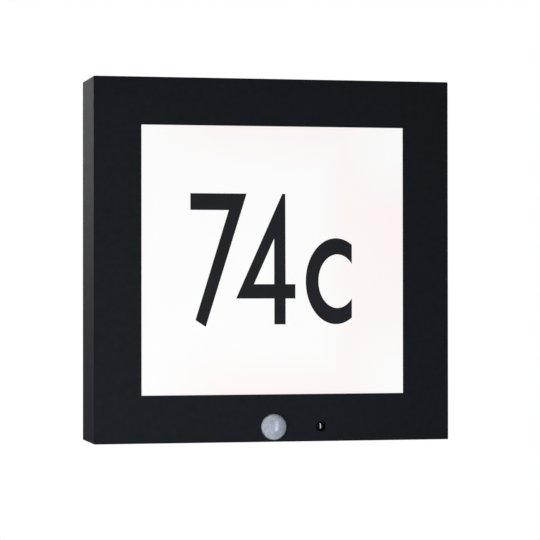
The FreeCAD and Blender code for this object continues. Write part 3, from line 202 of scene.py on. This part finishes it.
# Rows of tab resistors: the middle of the first, the step across to the next, the size of each across
# and up, and how far each one stands off the board
TAB_ROWS = (
    ((-38.0, -144.6), 3.2, (1.3, 2.0), (0.5, 0.5, 0.8, 0.5, 0.5)),
    ((-22.6, -125.4), 3.0, (1.3, 2.0), (0.8, 0.5, 0.5)),
    ((17.0, -124.9), 4.0, (2.0, 1.3), (0.5, 0.5, 0.8, 0.5)),
)
# The length of a tab's tinned ends, and how far they stand off the board as a share of the tab itself
TAB_END = 0.4
TAB_END_HEIGHT_SHARE = 1.06
SMALL_BEVEL = 0.05
BEVEL_SEGMENTS = 2

# The board's capacitor, in metres again: a can with a waist near its foot, and a crimped edge round a
# lid that lies as deep as the waist. The shares are of the height for the waist's place, of the radius
# for the lid and the crimp, and of the waist's depth for the shoulder below the crimp.
CAN_PLACE = (-0.0175, -0.1448)
CAN_RADIUS = 0.0025
CAN_HEIGHT = 0.0065
CAN_WAIST = 0.0003
CAN_WAIST_HEIGHT_SHARE = 0.14
CAN_LID_SHARE = 0.8
CAN_CRIMP_SHARES = (0.86, 0.96)
CAN_SHOULDER_SHARE = 1.6
CAN_SEGMENTS = 48

# Set

# The light hangs on a wall, so the floor is well below it. It reaches this far to each side.
PALE_FLOOR_DROP = 1.45
FLOOR_REACH = 8.0
FLOOR_COLOUR = (0.55, 0.55, 0.55)
FLOOR_GLOW = (0.82, 0.82, 0.82)
WHITE = (1.0, 1.0, 1.0)
WORLD_LIGHT = 0.30

# Soft boxes: what they are shown on, their place and target, width and height, and watts. A lamp for
# everything lights the surfaces. The others only make a highlight on their own pieces.
LAMPS = (
    ("key", "everything", (-0.17, -0.43, -0.135), (0, -0.06, -0.03), (0.5, 0.5), 1.92),
    ("fill", "everything", (0.90, 1.50, 0.90), (0, 0, 0), (1.4, 1.4), 30),
    ("flank", "everything", (-1.00, 0.30, 0.80), (0, 0, 0), (0.8, 0.8), 4),
    ("strip", "outside", (0.18, -0.71, -0.05), (0, 0, -0.13), (0.22, 1.20), 11.5),
    ("glint", "eye", (0.18, -0.71, -0.05), (0, 0, -0.13), (0.20, 1.20), 62),
    ("window", "outside", (-0.50, -0.56, -0.05), (0, 0, -0.13), (0.20, 1.00), 1.1),
    ("side", "outside", (-0.32, 0.38, 0.27), (-0.15, -0.03, 0.02), (0.3, 0.5), 7.3),
)
# The CAD nodes that the lamps for the outside are shown on, as they are on the motion lens
OUTSIDE_NODES = ("front_housing", "diffuser_panel", "digit_seven", "digit_four", "letter_c")

# The camera, fitted to the photograph: lens and sensor in millimetres, turn in radians
CAMERA_LENS = 158.1
CAMERA_SENSOR = 36.0
CAMERA_CLIP = (0.05, 60.0)
CAMERA_PLACE = (-0.43077, -1.97554, -0.02391)
CAMERA_TURN = (1.578896, 0.001, -0.219992)


# Materials

class Finish:
    """A node material under construction. A value is a number, a colour or another node's socket."""

    def __init__(self, name):
        self.material = bpy.data.materials.new(name)
        self.material.use_nodes = True
        self.nodes = self.material.node_tree.nodes
        self.shader = self.nodes["Principled BSDF"]
        self.place = self.add("ShaderNodeTexCoord").outputs["Object"]

    def add(self, kind, **inputs):
        node = self.nodes.new(kind)
        self.fill(node, inputs)
        return node

    def set(self, **inputs):
        self.fill(self.shader, inputs)

    def fill(self, node, inputs):
        """Feed a node's inputs by their names, with underscores for spaces."""
        for name, value in inputs.items():
            self.feed(value, node.inputs[name.replace("_", " ")])

    def feed(self, value, socket):
        if isinstance(value, bpy.types.NodeSocket):
            self.material.node_tree.links.new(value, socket)
        else:
            socket.default_value = value

    def noise(self, grain, detail=NOISE_DETAIL, place=None):
        node = self.add("ShaderNodeTexNoise", Vector=place or self.place, Scale=grain, Detail=detail)
        return node.outputs["Fac"]

    def stretched(self, across, deep, up):
        node = self.add("ShaderNodeMapping", Vector=self.place, Scale=(across, deep, up))
        return node.outputs["Vector"]

    def blend(self, share, first, second):
        """One colour into another by a share from 0 to 1."""
        node = self.add("ShaderNodeMix")
        node.data_type = "RGBA"
        colours = [socket for socket in node.inputs if socket.type == "RGBA"]
        self.feed(share, node.inputs[0])
        for value, socket in zip((first, second), colours):
            self.feed(value, socket)
        return next(socket for socket in node.outputs if socket.type == "RGBA")

    def between(self, share, low, high, start=0.0, end=1.0):
        """A value that goes from low to high while the share goes from start to end."""
        node = self.add("ShaderNodeMapRange")
        for value, socket in zip((share, start, end, low, high), node.inputs):
            self.feed(value, socket)
        return node.outputs["Result"]

    def rise(self, value, limits, top=1.0):
        """0 up to the lower limit, top from the upper one on, and a straight rise between them."""
        return self.between(value, 0.0, top, *limits)

    def wander(self, noise, low, high):
        """A value that wanders between low and high as a noise does."""
        return self.between(noise, low, high, *NOISE_RANGE)

    def math(self, operation, *values):
        node = self.add("ShaderNodeMath")
        node.operation = operation
        for value, socket in zip(values, node.inputs):
            self.feed(value, socket)
        return node.outputs[0]

    def relief(self, height, millimetres):
        node = self.add("ShaderNodeBump", Height=height, Distance=millimetres / MM_PER_METRE)
        return node.outputs["Normal"]


def opaque(colour, factor=1.0):
    """A colour made lighter or darker by a factor, with the alpha that a socket asks for."""
    return tuple(min(1.0, part * factor) for part in colour) + (1.0,)


def plain_finish(name, colour, roughness, grain, relief, tone, metallic=0.0,
                 specular=PLAIN_SPECULAR, subsurface=0.0):
    """A surface whose tone wanders slowly, with a fine grain in its gloss and relief."""
    finish = Finish(name)
    slow = finish.noise(grain / PATCH_GRAINS)
    fine = finish.noise(grain, PLAIN_GRAIN_DETAIL)
    share = finish.wander(slow, 0.0, 1.0)
    glossy = roughness * (1 - GLOSS_WANDER_SHARE)
    matt = min(1.0, roughness * (1 + GLOSS_WANDER_SHARE))
    finish.set(Base_Color=finish.blend(share, opaque(colour, 1 - tone), opaque(colour, 1 + tone)),
               Roughness=finish.wander(fine, glossy, matt),
               Normal=finish.relief(fine, relief))
    finish.set(Metallic=metallic, Specular_IOR_Level=specular, Subsurface_Weight=subsurface,
               Subsurface_Scale=PLAIN_LIGHT_DEPTH)
    return finish


def zinc_finish():
    """Zinc-plated sheet: soft spangles, fine rolling lines across."""
    finish = Finish("zinc")
    spangle = finish.add("ShaderNodeTexVoronoi", Vector=finish.place, Scale=ZINC.spangles)
    share = finish.add("ShaderNodeSeparateColor", Color=spangle.outputs["Color"]).outputs["Red"]
    lines = finish.noise(ZINC.grain, ZINC.detail, finish.stretched(ZINC.line_squeeze, 1.0, 1.0))
    finish.set(Base_Color=finish.blend(share, opaque(ZINC.dark), opaque(ZINC.pale)),
               Roughness=finish.wander(lines, *ZINC.roughness),
               Normal=finish.relief(lines, ZINC.relief))
    finish.set(Metallic=1.0)
    return finish


def aluminium_finish():
    """Mill-finish sheet with fine upright rolling lines."""
    finish = Finish("aluminium_sheet")
    upright = finish.stretched(1.0, 1.0, ALUMINIUM.line_squeeze)
    lines = finish.noise(ALUMINIUM.grain, ALUMINIUM.detail, upright)
    finish.set(Base_Color=finish.blend(lines, opaque(ALUMINIUM.dark), opaque(ALUMINIUM.pale)),
               Roughness=finish.wander(lines, *ALUMINIUM.roughness),
               Normal=finish.relief(lines, ALUMINIUM.relief))
    finish.set(Metallic=1.0)
    return finish


def board_finish():
    """Circuit board: green lacquer over copper tracks."""
    finish = Finish("board")
    turned_place = finish.add("ShaderNodeMapping", Vector=finish.place, Rotation=(math.pi / 2, 0, 0))
    tracks = finish.add("ShaderNodeTexBrick", Vector=turned_place.outputs["Vector"], Scale=BOARD.bricks,
                        Mortar_Size=BOARD.track_width, Mortar_Smooth=BOARD.track_softness)
    tracks.offset = BOARD.row_offset
    patches = finish.rise(finish.noise(BOARD.patch_grain), BOARD.patches)
    share = finish.math("MULTIPLY", tracks.outputs["Fac"], patches)
    finish.set(Base_Color=finish.blend(share, opaque(BOARD.bare), opaque(BOARD.track)),
               Roughness=finish.wander(finish.noise(BOARD.gloss_grain), *BOARD.roughness),
               Normal=finish.relief(share, BOARD.relief))
    finish.set(Coat_Weight=BOARD.lacquer)
    return finish


def earth_finish():
    """Green insulation with a yellow stripe along its front and its back."""
    finish = Finish("lead_earth")
    facing = finish.add("ShaderNodeTexCoord").outputs["Normal"]
    forwards = finish.add("ShaderNodeSeparateXYZ", Vector=facing).outputs["Y"]
    stripe = finish.rise(finish.math("ABSOLUTE", forwards), EARTH.stripe_facing)
    finish.set(Base_Color=finish.blend(stripe, opaque(EARTH.green), opaque(EARTH.yellow)),
               Roughness=finish.wander(finish.noise(EARTH.gloss_grain), *EARTH.roughness),
               Normal=finish.relief(finish.noise(EARTH.grain), EARTH.relief))
    return finish


def opal_warmth(finish):
    """The share of the diffuser's warmer tone at each point."""
    position = finish.add("ShaderNodeSeparateXYZ", Vector=finish.place)
    across = position.outputs["X"]
    height = finish.math("ABSOLUTE", position.outputs["Z"])
    edge = finish.rise(height, WARMTH.height, WARMTH.height_share)
    right = finish.rise(across, WARMTH.right, WARMTH.right_share)
    noise = finish.noise(WARMTH.drift_grain, WARMTH.drift_detail)
    drift = finish.wander(noise, -WARMTH.drift, WARMTH.drift)
    warmth = finish.math("ADD", finish.math("MAXIMUM", edge, right), drift)
    corner = finish.math("MULTIPLY", finish.rise(across, WARMTH.corner_right),
                         finish.rise(height, WARMTH.corner_height))
    kept = finish.math("MULTIPLY", finish.rise(across, WARMTH.left),
                       finish.math("SUBTRACT", 1.0, corner))
    return finish.rise(finish.math("MULTIPLY", warmth, kept), (0.0, 1.0))


def opal_finish():
    """The lit diffuser: an even white, a touch warmer along its top, bottom and right."""
    finish = Finish("opal")
    share = opal_warmth(finish)
    finish.set(Emission_Color=finish.blend(share, opaque(OPAL.glow), opaque(OPAL.warm_glow)),
               Base_Color=finish.blend(share, opaque(OPAL.body), opaque(OPAL.warm_body)),
               Roughness=finish.wander(finish.noise(OPAL.gloss_grain), *OPAL.roughness),
               Normal=finish.relief(finish.noise(OPAL.grain), OPAL.relief))
    finish.set(Emission_Strength=OPAL.strength, Specular_IOR_Level=OPAL.specular)
    return finish


def lens_finish():
    """Milky polyethylene: cells of unlike tone with painted shade in their folds and fine ring grooves in
    each, and painted light towards the rim.
    """
    finish = Finish("lens_milky")
    cell = finish.add("ShaderNodeAttribute")
    cell.attribute_name = "cell"
    distance, tone, fold = finish.add("ShaderNodeSeparateXYZ", Vector=cell.outputs["Vector"]).outputs
    turns = finish.math("MULTIPLY", distance, math.tau / LENS_GROOVE_PITCH)
    grooves = finish.relief(finish.math("SINE", turns), MILKY.groove_relief)
    noise = finish.noise(MILKY.mottle_grain, MILKY.mottle_detail)
    mottle = finish.wander(noise, -MILKY.mottle, MILKY.mottle)
    # The share runs to the clear colour towards the rim, where it is painted rim light.
    share = finish.rise(finish.math("ADD", tone, mottle), (0.0, 1.0))
    clear = finish.blend(share, opaque(MILKY.dim), opaque(MILKY.clear))
    # The folds between cells get a painted shade colour.
    finish.set(Base_Color=finish.blend(fold, clear, opaque(MILKY.fold)),
               Roughness=finish.between(mottle, *MILKY.roughness, -MILKY.mottle, MILKY.mottle),
               Normal=grooves)
    finish.set(Subsurface_Weight=MILKY.light_inside, Subsurface_Scale=MILKY.light_depth,
               Subsurface_Radius=MILKY.depth_factors, Specular_IOR_Level=MILKY.specular)
    return finish


def make_finishes():
    """All finishes by material slot."""
    finishes = {name: plain_finish(name, **values) for name, values in FINISHES.items()}
    for made in (zinc_finish(), aluminium_finish(), board_finish(), earth_finish(), opal_finish(),
                 lens_finish()):
        finishes[made.material.name] = made
    return {name: made.material for name, made in finishes.items()}


def dress_frame():
    """Give each CAD node the finish of its material slot."""
    for part in frame["record"]["subparts"]:
        node = frame["nodes"][part["node"]]
        node.data.materials.clear()
        node.data.materials.append(finishes[part["material_slot"]])


# Pieces

def turned(name, middle, profile, segments, carve=None):
    """A solid of revolution about an axis square to the wall, from (radius, reach) pairs in order.

    carve gives each point's carved (radius, reach) and three values that are kept on the point."""
    across, up = middle
    mesh = bmesh.new()
    kept = mesh.verts.layers.float_vector.new("cell")
    rows = []
    for radius, reach in profile:
        if radius == 0:
            rows.append([mesh.verts.new((across, -reach, up))])
            rows[-1][0][kept] = PLAIN_LENS
            continue
        row = []
        for index in range(segments):
            around = math.tau * index / segments
            point, values = carve(radius, reach, around) if carve else ((radius, reach), PLAIN_LENS)
            vertex = mesh.verts.new((across + point[0] * math.cos(around), -point[1],
                                     up + point[0] * math.sin(around)))
            vertex[kept] = values
            row.append(vertex)
        rows.append(row)
    for first, second in zip(rows, rows[1:]):
        for index in range(segments):
            following = (index + 1) % segments
            ring = [first[index % len(first)], first[following % len(first)],
                    second[following % len(second)], second[index % len(second)]]
            mesh.faces.new(list(dict.fromkeys(ring)))
    bmesh.ops.recalc_face_normals(mesh, faces=mesh.faces)
    return as_object(name, mesh)


def as_object(name, mesh, smooth=True):
    data = bpy.data.meshes.new(name)
    mesh.to_mesh(data)
    mesh.free()
    for face in data.polygons:
        face.use_smooth = smooth
    piece = bpy.data.objects.new(name, data)
    bpy.context.scene.collection.objects.link(piece)
    return piece


def dress(piece, slot, body, *nodes):
    """Give a piece its finish and the body it rides on, in place of the nodes it stands for."""
    piece.data.materials.append(finishes[slot])
    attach(piece, body)
    if nodes:
        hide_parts(*nodes)
    return piece


def middle_of(node):
    low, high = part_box(node)
    return (low[0] + high[0]) / 2, (low[2] + high[2]) / 2


def ring_cell(tilt, around, start, end, count):
    """A lens point's depth below its cell's crown, and its cell's groove distance, its tone with painted
    rim light, and its painted fold shade.

    The cell is one of count in the ring from start to end, or a round one at the tip."""
    at_tip = count == 1
    middle = 0.0 if at_tip else math.radians(start + end) / 2
    reach = math.radians(end) if at_tip else math.radians(end - start) / 2
    width = math.tau / count
    index, turn = divmod((around + count * LENS_CELL_TURN) % math.tau, width)
    turn -= width / 2
    along = abs(tilt - middle) / reach
    aside = 0.0 if at_tip else abs(turn) / (width / 2)
    spread = 0.0 if at_tip else turn * math.sin(tilt)
    crown = (1 - along ** LENS_CELL_SHARPNESS) * (1 - aside ** LENS_CELL_SHARPNESS)
    rim = (math.degrees(tilt) / LENS_RIM_ANGLE) ** 2
    wave = math.sin(end * CELL_TONE_AND_RIM_LIGHT.angle_step + index * CELL_TONE_AND_RIM_LIGHT.cell_step)
    # The tone grows towards the rim as painted rim light.
    tone = (CELL_TONE_AND_RIM_LIGHT.all + CELL_TONE_AND_RIM_LIGHT.wave * wave + CELL_TONE_AND_RIM_LIGHT.rim * rim
            + CELL_TONE_AND_RIM_LIGHT.late_rim * rim ** 2)
    # Painted shade along the cell's folds, deepest in its corners.
    fold = (CELL_FOLD_SHADE.edge * max(along, aside) ** CELL_FOLD_SHADE.edge_power
            + CELL_FOLD_SHADE.corner * (along * aside) ** CELL_FOLD_SHADE.corner_power)
    fold *= 1 - CELL_FOLD_SHADE.rim_loss * rim
    return (1 - crown) * LENS_CELL_DEPTH, (math.hypot(tilt - middle, spread), tone, fold)


def lens_cell(tilt, around):
    """The same for the cell that the point is in, or plain values where there is none."""
    for start, end, count in LENS_RINGS:
        if start <= math.degrees(tilt) < end:
            return ring_cell(tilt, around, start, end, count)
    return 0.0, PLAIN_LENS


def motion_lens():
    """The motion lens: a half sphere of shallow lens cells on a skirt with a foot flange."""
    low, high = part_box("pir_lens")
    flange = (high[0] - low[0]) / 2
    radius = flange - LENS_LIP
    inner = radius - LENS_GAUGE
    rear = -high[1]
    middle = -low[1] - radius

    def on_sphere(size, tilt):
        return size * math.sin(tilt), middle + size * math.cos(tilt)

    def carve(ring_radius, reach, around):
        tilt = math.atan2(ring_radius, reach - middle)
        size = math.hypot(ring_radius, reach - middle)
        if reach <= middle or size < radius - LENS_GAUGE / 2:
            return (ring_radius, reach), PLAIN_LENS
        depth, (distance, tone, fold) = lens_cell(tilt, around)
        return on_sphere(size - depth, tilt), (distance * radius, tone, fold)

    quarter = [math.pi / 2 * step / LENS_STEPS for step in range(1, LENS_STEPS + 1)]
    coarse = quarter[LENS_INSIDE_START:-LENS_INSIDE_STRIDE:LENS_INSIDE_STRIDE]
    outside = [on_sphere(radius, tilt) for tilt in quarter]
    foot = [(radius, middle - LENS_SKIRT), (flange, middle - LENS_SKIRT), (flange, rear),
            (inner, rear), (inner, middle)]
    inside = [on_sphere(inner, tilt) for tilt in reversed(coarse)]
    profile = [(0, middle + radius)] + outside + foot + inside + [(0, middle + inner)]
    piece = turned("motion_lens", middle_of("pir_lens"), profile, LENS_SEGMENTS, carve)
    return dress(piece, "lens_milky", "base", "pir_lens")


def daylight_eye():
    """The daylight sensor's eye: a dark light guide with a round crown and a room for the sensor."""
    low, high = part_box("daylight_lens")
    foot = (high[0] - low[0]) / 2
    rear, tip = -high[1], -low[1]
    centre = tip - EYE_CROWN_RADIUS
    arc = [math.radians(EYE_CROWN_STEP * step) for step in range(1, EYE_CROWN_STEPS + 1)]
    crown = [(EYE_CROWN_RADIUS * math.sin(tilt), centre + EYE_CROWN_RADIUS * math.cos(tilt))
             for tilt in arc]
    shoulder = crown[-1][1]
    foot_top = rear + EYE_FOOT_GAUGE
    room_top = rear + EYE_ROOM_DEPTH
    profile = [(0, tip)] + crown + [(EYE_STEM_RADIUS, shoulder), (EYE_STEM_RADIUS, foot_top),
                                    (foot, foot_top), (foot, rear), (EYE_ROOM_RADIUS, rear),
                                    (EYE_ROOM_RADIUS, room_top), (0, room_top)]
    piece = turned("daylight_eye", middle_of("daylight_lens"), profile, EYE_SEGMENTS)
    return dress(piece, "sensor_dark", "base", "daylight_lens")


def block(mesh, middle, size, board_front, bevel):
    """A box with softened edges that stands on the board, all but board_front in millimetres."""
    made = bmesh.ops.create_cube(mesh, size=1.0)["verts"]
    for vertex in made:
        vertex.co = Vector(((middle[0] + vertex.co.x * size[0]) / MM_PER_METRE,
                            board_front - (vertex.co.y + 0.5) * size[2] / MM_PER_METRE,
                            (middle[1] + vertex.co.z * size[1]) / MM_PER_METRE))
    edges = list({edge for vertex in made for edge in vertex.link_edges})
    bmesh.ops.bevel(mesh, geom=edges, offset=bevel / MM_PER_METRE, segments=BEVEL_SEGMENTS,
                    affect="EDGES")


def board_chip(bodies, ends, board_front):
    """The chip and its legs."""
    across, up, wide, tall, deep = BOARD_CHIP
    block(bodies, (across, up), (wide, tall, deep), board_front, CHIP_BEVEL)
    for side in (-1, 1):
        for leg in CHIP_LEGS:
            middle = (across + leg, up + side * (tall + CHIP_LEG[1]) / 2)
            block(ends, middle, CHIP_LEG, board_front, SMALL_BEVEL)


def board_tab(bodies, ends, board_front, middle, size, deep):
    """A tab resistor and its two tinned ends."""
    across, up = middle
    wide, tall = size
    lying = wide > tall
    body = (wide - 2 * TAB_END, tall, deep) if lying else (wide, tall - 2 * TAB_END, deep)
    block(bodies, middle, body, board_front, SMALL_BEVEL)
    end_deep = deep * TAB_END_HEIGHT_SHARE
    end = (TAB_END, tall, end_deep) if lying else (wide, TAB_END, end_deep)
    for side in (-1, 1):
        shift = side * (max(wide, tall) - TAB_END) / 2
        end_middle = (across + shift, up) if lying else (across, up + shift)
        block(ends, end_middle, end, board_front, SMALL_BEVEL)


def board_capacitor(foot):
    """The can, from the board's face outwards."""
    waist = foot + CAN_HEIGHT * CAN_WAIST_HEIGHT_SHARE
    top = foot + CAN_HEIGHT
    crimp_inner, crimp_outer = (CAN_RADIUS * share for share in CAN_CRIMP_SHARES)
    profile = [(0, top - CAN_WAIST), (CAN_RADIUS * CAN_LID_SHARE, top - CAN_WAIST), (crimp_inner, top),
               (crimp_outer, top - CAN_WAIST / 2), (CAN_RADIUS, top - CAN_WAIST * CAN_SHOULDER_SHARE),
               (CAN_RADIUS, waist + CAN_WAIST), (CAN_RADIUS - CAN_WAIST, waist),
               (CAN_RADIUS, waist - CAN_WAIST), (CAN_RADIUS, foot), (0, foot)]
    return turned("board_capacitor", CAN_PLACE, profile, CAN_SEGMENTS)


def board_parts():
    """The sensor board's small parts: a chip, tab resistors and a capacitor."""
    board_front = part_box("sensor_board")[0][1]
    bodies, ends = bmesh.new(), bmesh.new()
    board_chip(bodies, ends, board_front)
    for (across, up), step, size, depths in TAB_ROWS:
        for index, deep in enumerate(depths):
            board_tab(bodies, ends, board_front, (across + index * step, up), size, deep)
    dress(as_object("board_chips", bodies, smooth=False), "knob_housing_plastic", "base")
    dress(as_object("board_solder", ends, smooth=False), "tin", "base")
    dress(board_capacitor(-board_front), "aluminium_sheet", "base")


# Set

def lamp(name, place, target, size, watts, receivers):
    """A soft box that lights the surfaces, or only makes a highlight on its receivers."""
    light = bpy.data.lights.new(name, "AREA")
    light.shape = "RECTANGLE"
    light.size, light.size_y = size
    light.energy = watts
    holder = bpy.data.objects.new(name, light)
    holder.visible_camera = False
    holder.visible_diffuse = not receivers
    holder.visible_glossy = bool(receivers)
    if receivers:
        shown = bpy.data.collections.new(name + "_receivers")
        for piece in receivers:
            shown.objects.link(piece)
        holder.light_linking.receiver_collection = shown
    holder.location = place
    holder.rotation_euler = (Vector(target) - Vector(place)).to_track_quat("-Z", "Y").to_euler()
    bpy.context.scene.collection.objects.link(holder)


def any_of(tree, *sockets):
    """1 where any of these is 1."""
    total = sockets[0]
    for socket in sockets[1:]:
        node = tree.nodes.new("ShaderNodeMath")
        node.operation = "MAXIMUM"
        tree.links.new(total, node.inputs[0])
        tree.links.new(socket, node.inputs[1])
        total = node.outputs[0]
    return total


def white_rays(tree):
    """1 for the rays that see a white backdrop."""
    path = tree.nodes.new("ShaderNodeLightPath").outputs
    return any_of(tree, path["Is Camera Ray"], path["Is Glossy Ray"], path["Is Transmission Ray"])


def make_world():
    """Soft light from all around, and a white backdrop."""
    world = bpy.data.worlds.new("studio")
    bpy.context.scene.world = world
    world.use_nodes = True
    tree = world.node_tree
    light = tree.nodes["Background"]
    light.inputs["Color"].default_value = opaque(WHITE)
    light.inputs["Strength"].default_value = WORLD_LIGHT
    backdrop = tree.nodes.new("ShaderNodeBackground")
    backdrop.inputs["Color"].default_value = opaque(WHITE)
    backdrop.inputs["Strength"].default_value = 1.0
    mix = tree.nodes.new("ShaderNodeMixShader")
    tree.links.new(white_rays(tree), mix.inputs[0])
    tree.links.new(light.outputs[0], mix.inputs[1])
    tree.links.new(backdrop.outputs[0], mix.inputs[2])
    tree.links.new(mix.outputs[0], tree.nodes["World Output"].inputs["Surface"])


def floor_material():
    """A pale surface that glows to white for the rays that see it, and keeps its shadows."""
    material = bpy.data.materials.new("floor")
    material.use_nodes = True
    tree = material.node_tree
    tree.nodes.remove(tree.nodes["Principled BSDF"])
    ground = tree.nodes.new("ShaderNodeBsdfDiffuse")
    ground.inputs["Color"].default_value = opaque(FLOOR_COLOUR)
    glow = tree.nodes.new("ShaderNodeEmission")
    glow.inputs["Color"].default_value = opaque(FLOOR_GLOW)
    tree.links.new(white_rays(tree), glow.inputs["Strength"])
    total = tree.nodes.new("ShaderNodeAddShader")
    tree.links.new(ground.outputs[0], total.inputs[0])
    tree.links.new(glow.outputs[0], total.inputs[1])
    tree.links.new(total.outputs[0], tree.nodes["Material Output"].inputs["Surface"])
    return material


def make_floor():
    """A pale floor below the light that shows white and keeps the object's shadow."""
    bottom = cad_box[0][2] - PALE_FLOOR_DROP
    mesh = bmesh.new()
    for across, deep in ((-1, -1), (1, -1), (1, 1), (-1, 1)):
        mesh.verts.new((across * FLOOR_REACH, deep * FLOOR_REACH, bottom))
    mesh.faces.new(mesh.verts)
    floor = as_object("floor", mesh, smooth=False)
    floor.data.materials.append(floor_material())


def make_camera():
    """The photograph's view: a long lens, level with the light, a little from its left."""
    data = bpy.data.cameras.new("camera")
    data.lens = CAMERA_LENS
    data.sensor_width = CAMERA_SENSOR
    data.clip_start, data.clip_end = CAMERA_CLIP
    camera = bpy.data.objects.new("camera", data)
    camera.location = CAMERA_PLACE
    camera.rotation_euler = CAMERA_TURN
    bpy.context.scene.collection.objects.link(camera)
    bpy.context.scene.camera = camera


for imported in list(bpy.data.materials):
    bpy.data.materials.remove(imported)
finishes = make_finishes()
dress_frame()
lens = motion_lens()
eye = daylight_eye()
board_parts()

make_world()
make_floor()
receivers = {
    "everything": [],
    "outside": [frame["nodes"][name] for name in OUTSIDE_NODES] + [lens],
    "eye": [eye],
}
for name, shown_on, *values in LAMPS:
    lamp(name, *values, receivers[shown_on])
make_camera()
bpy.context.scene.view_settings.view_transform = "Standard"
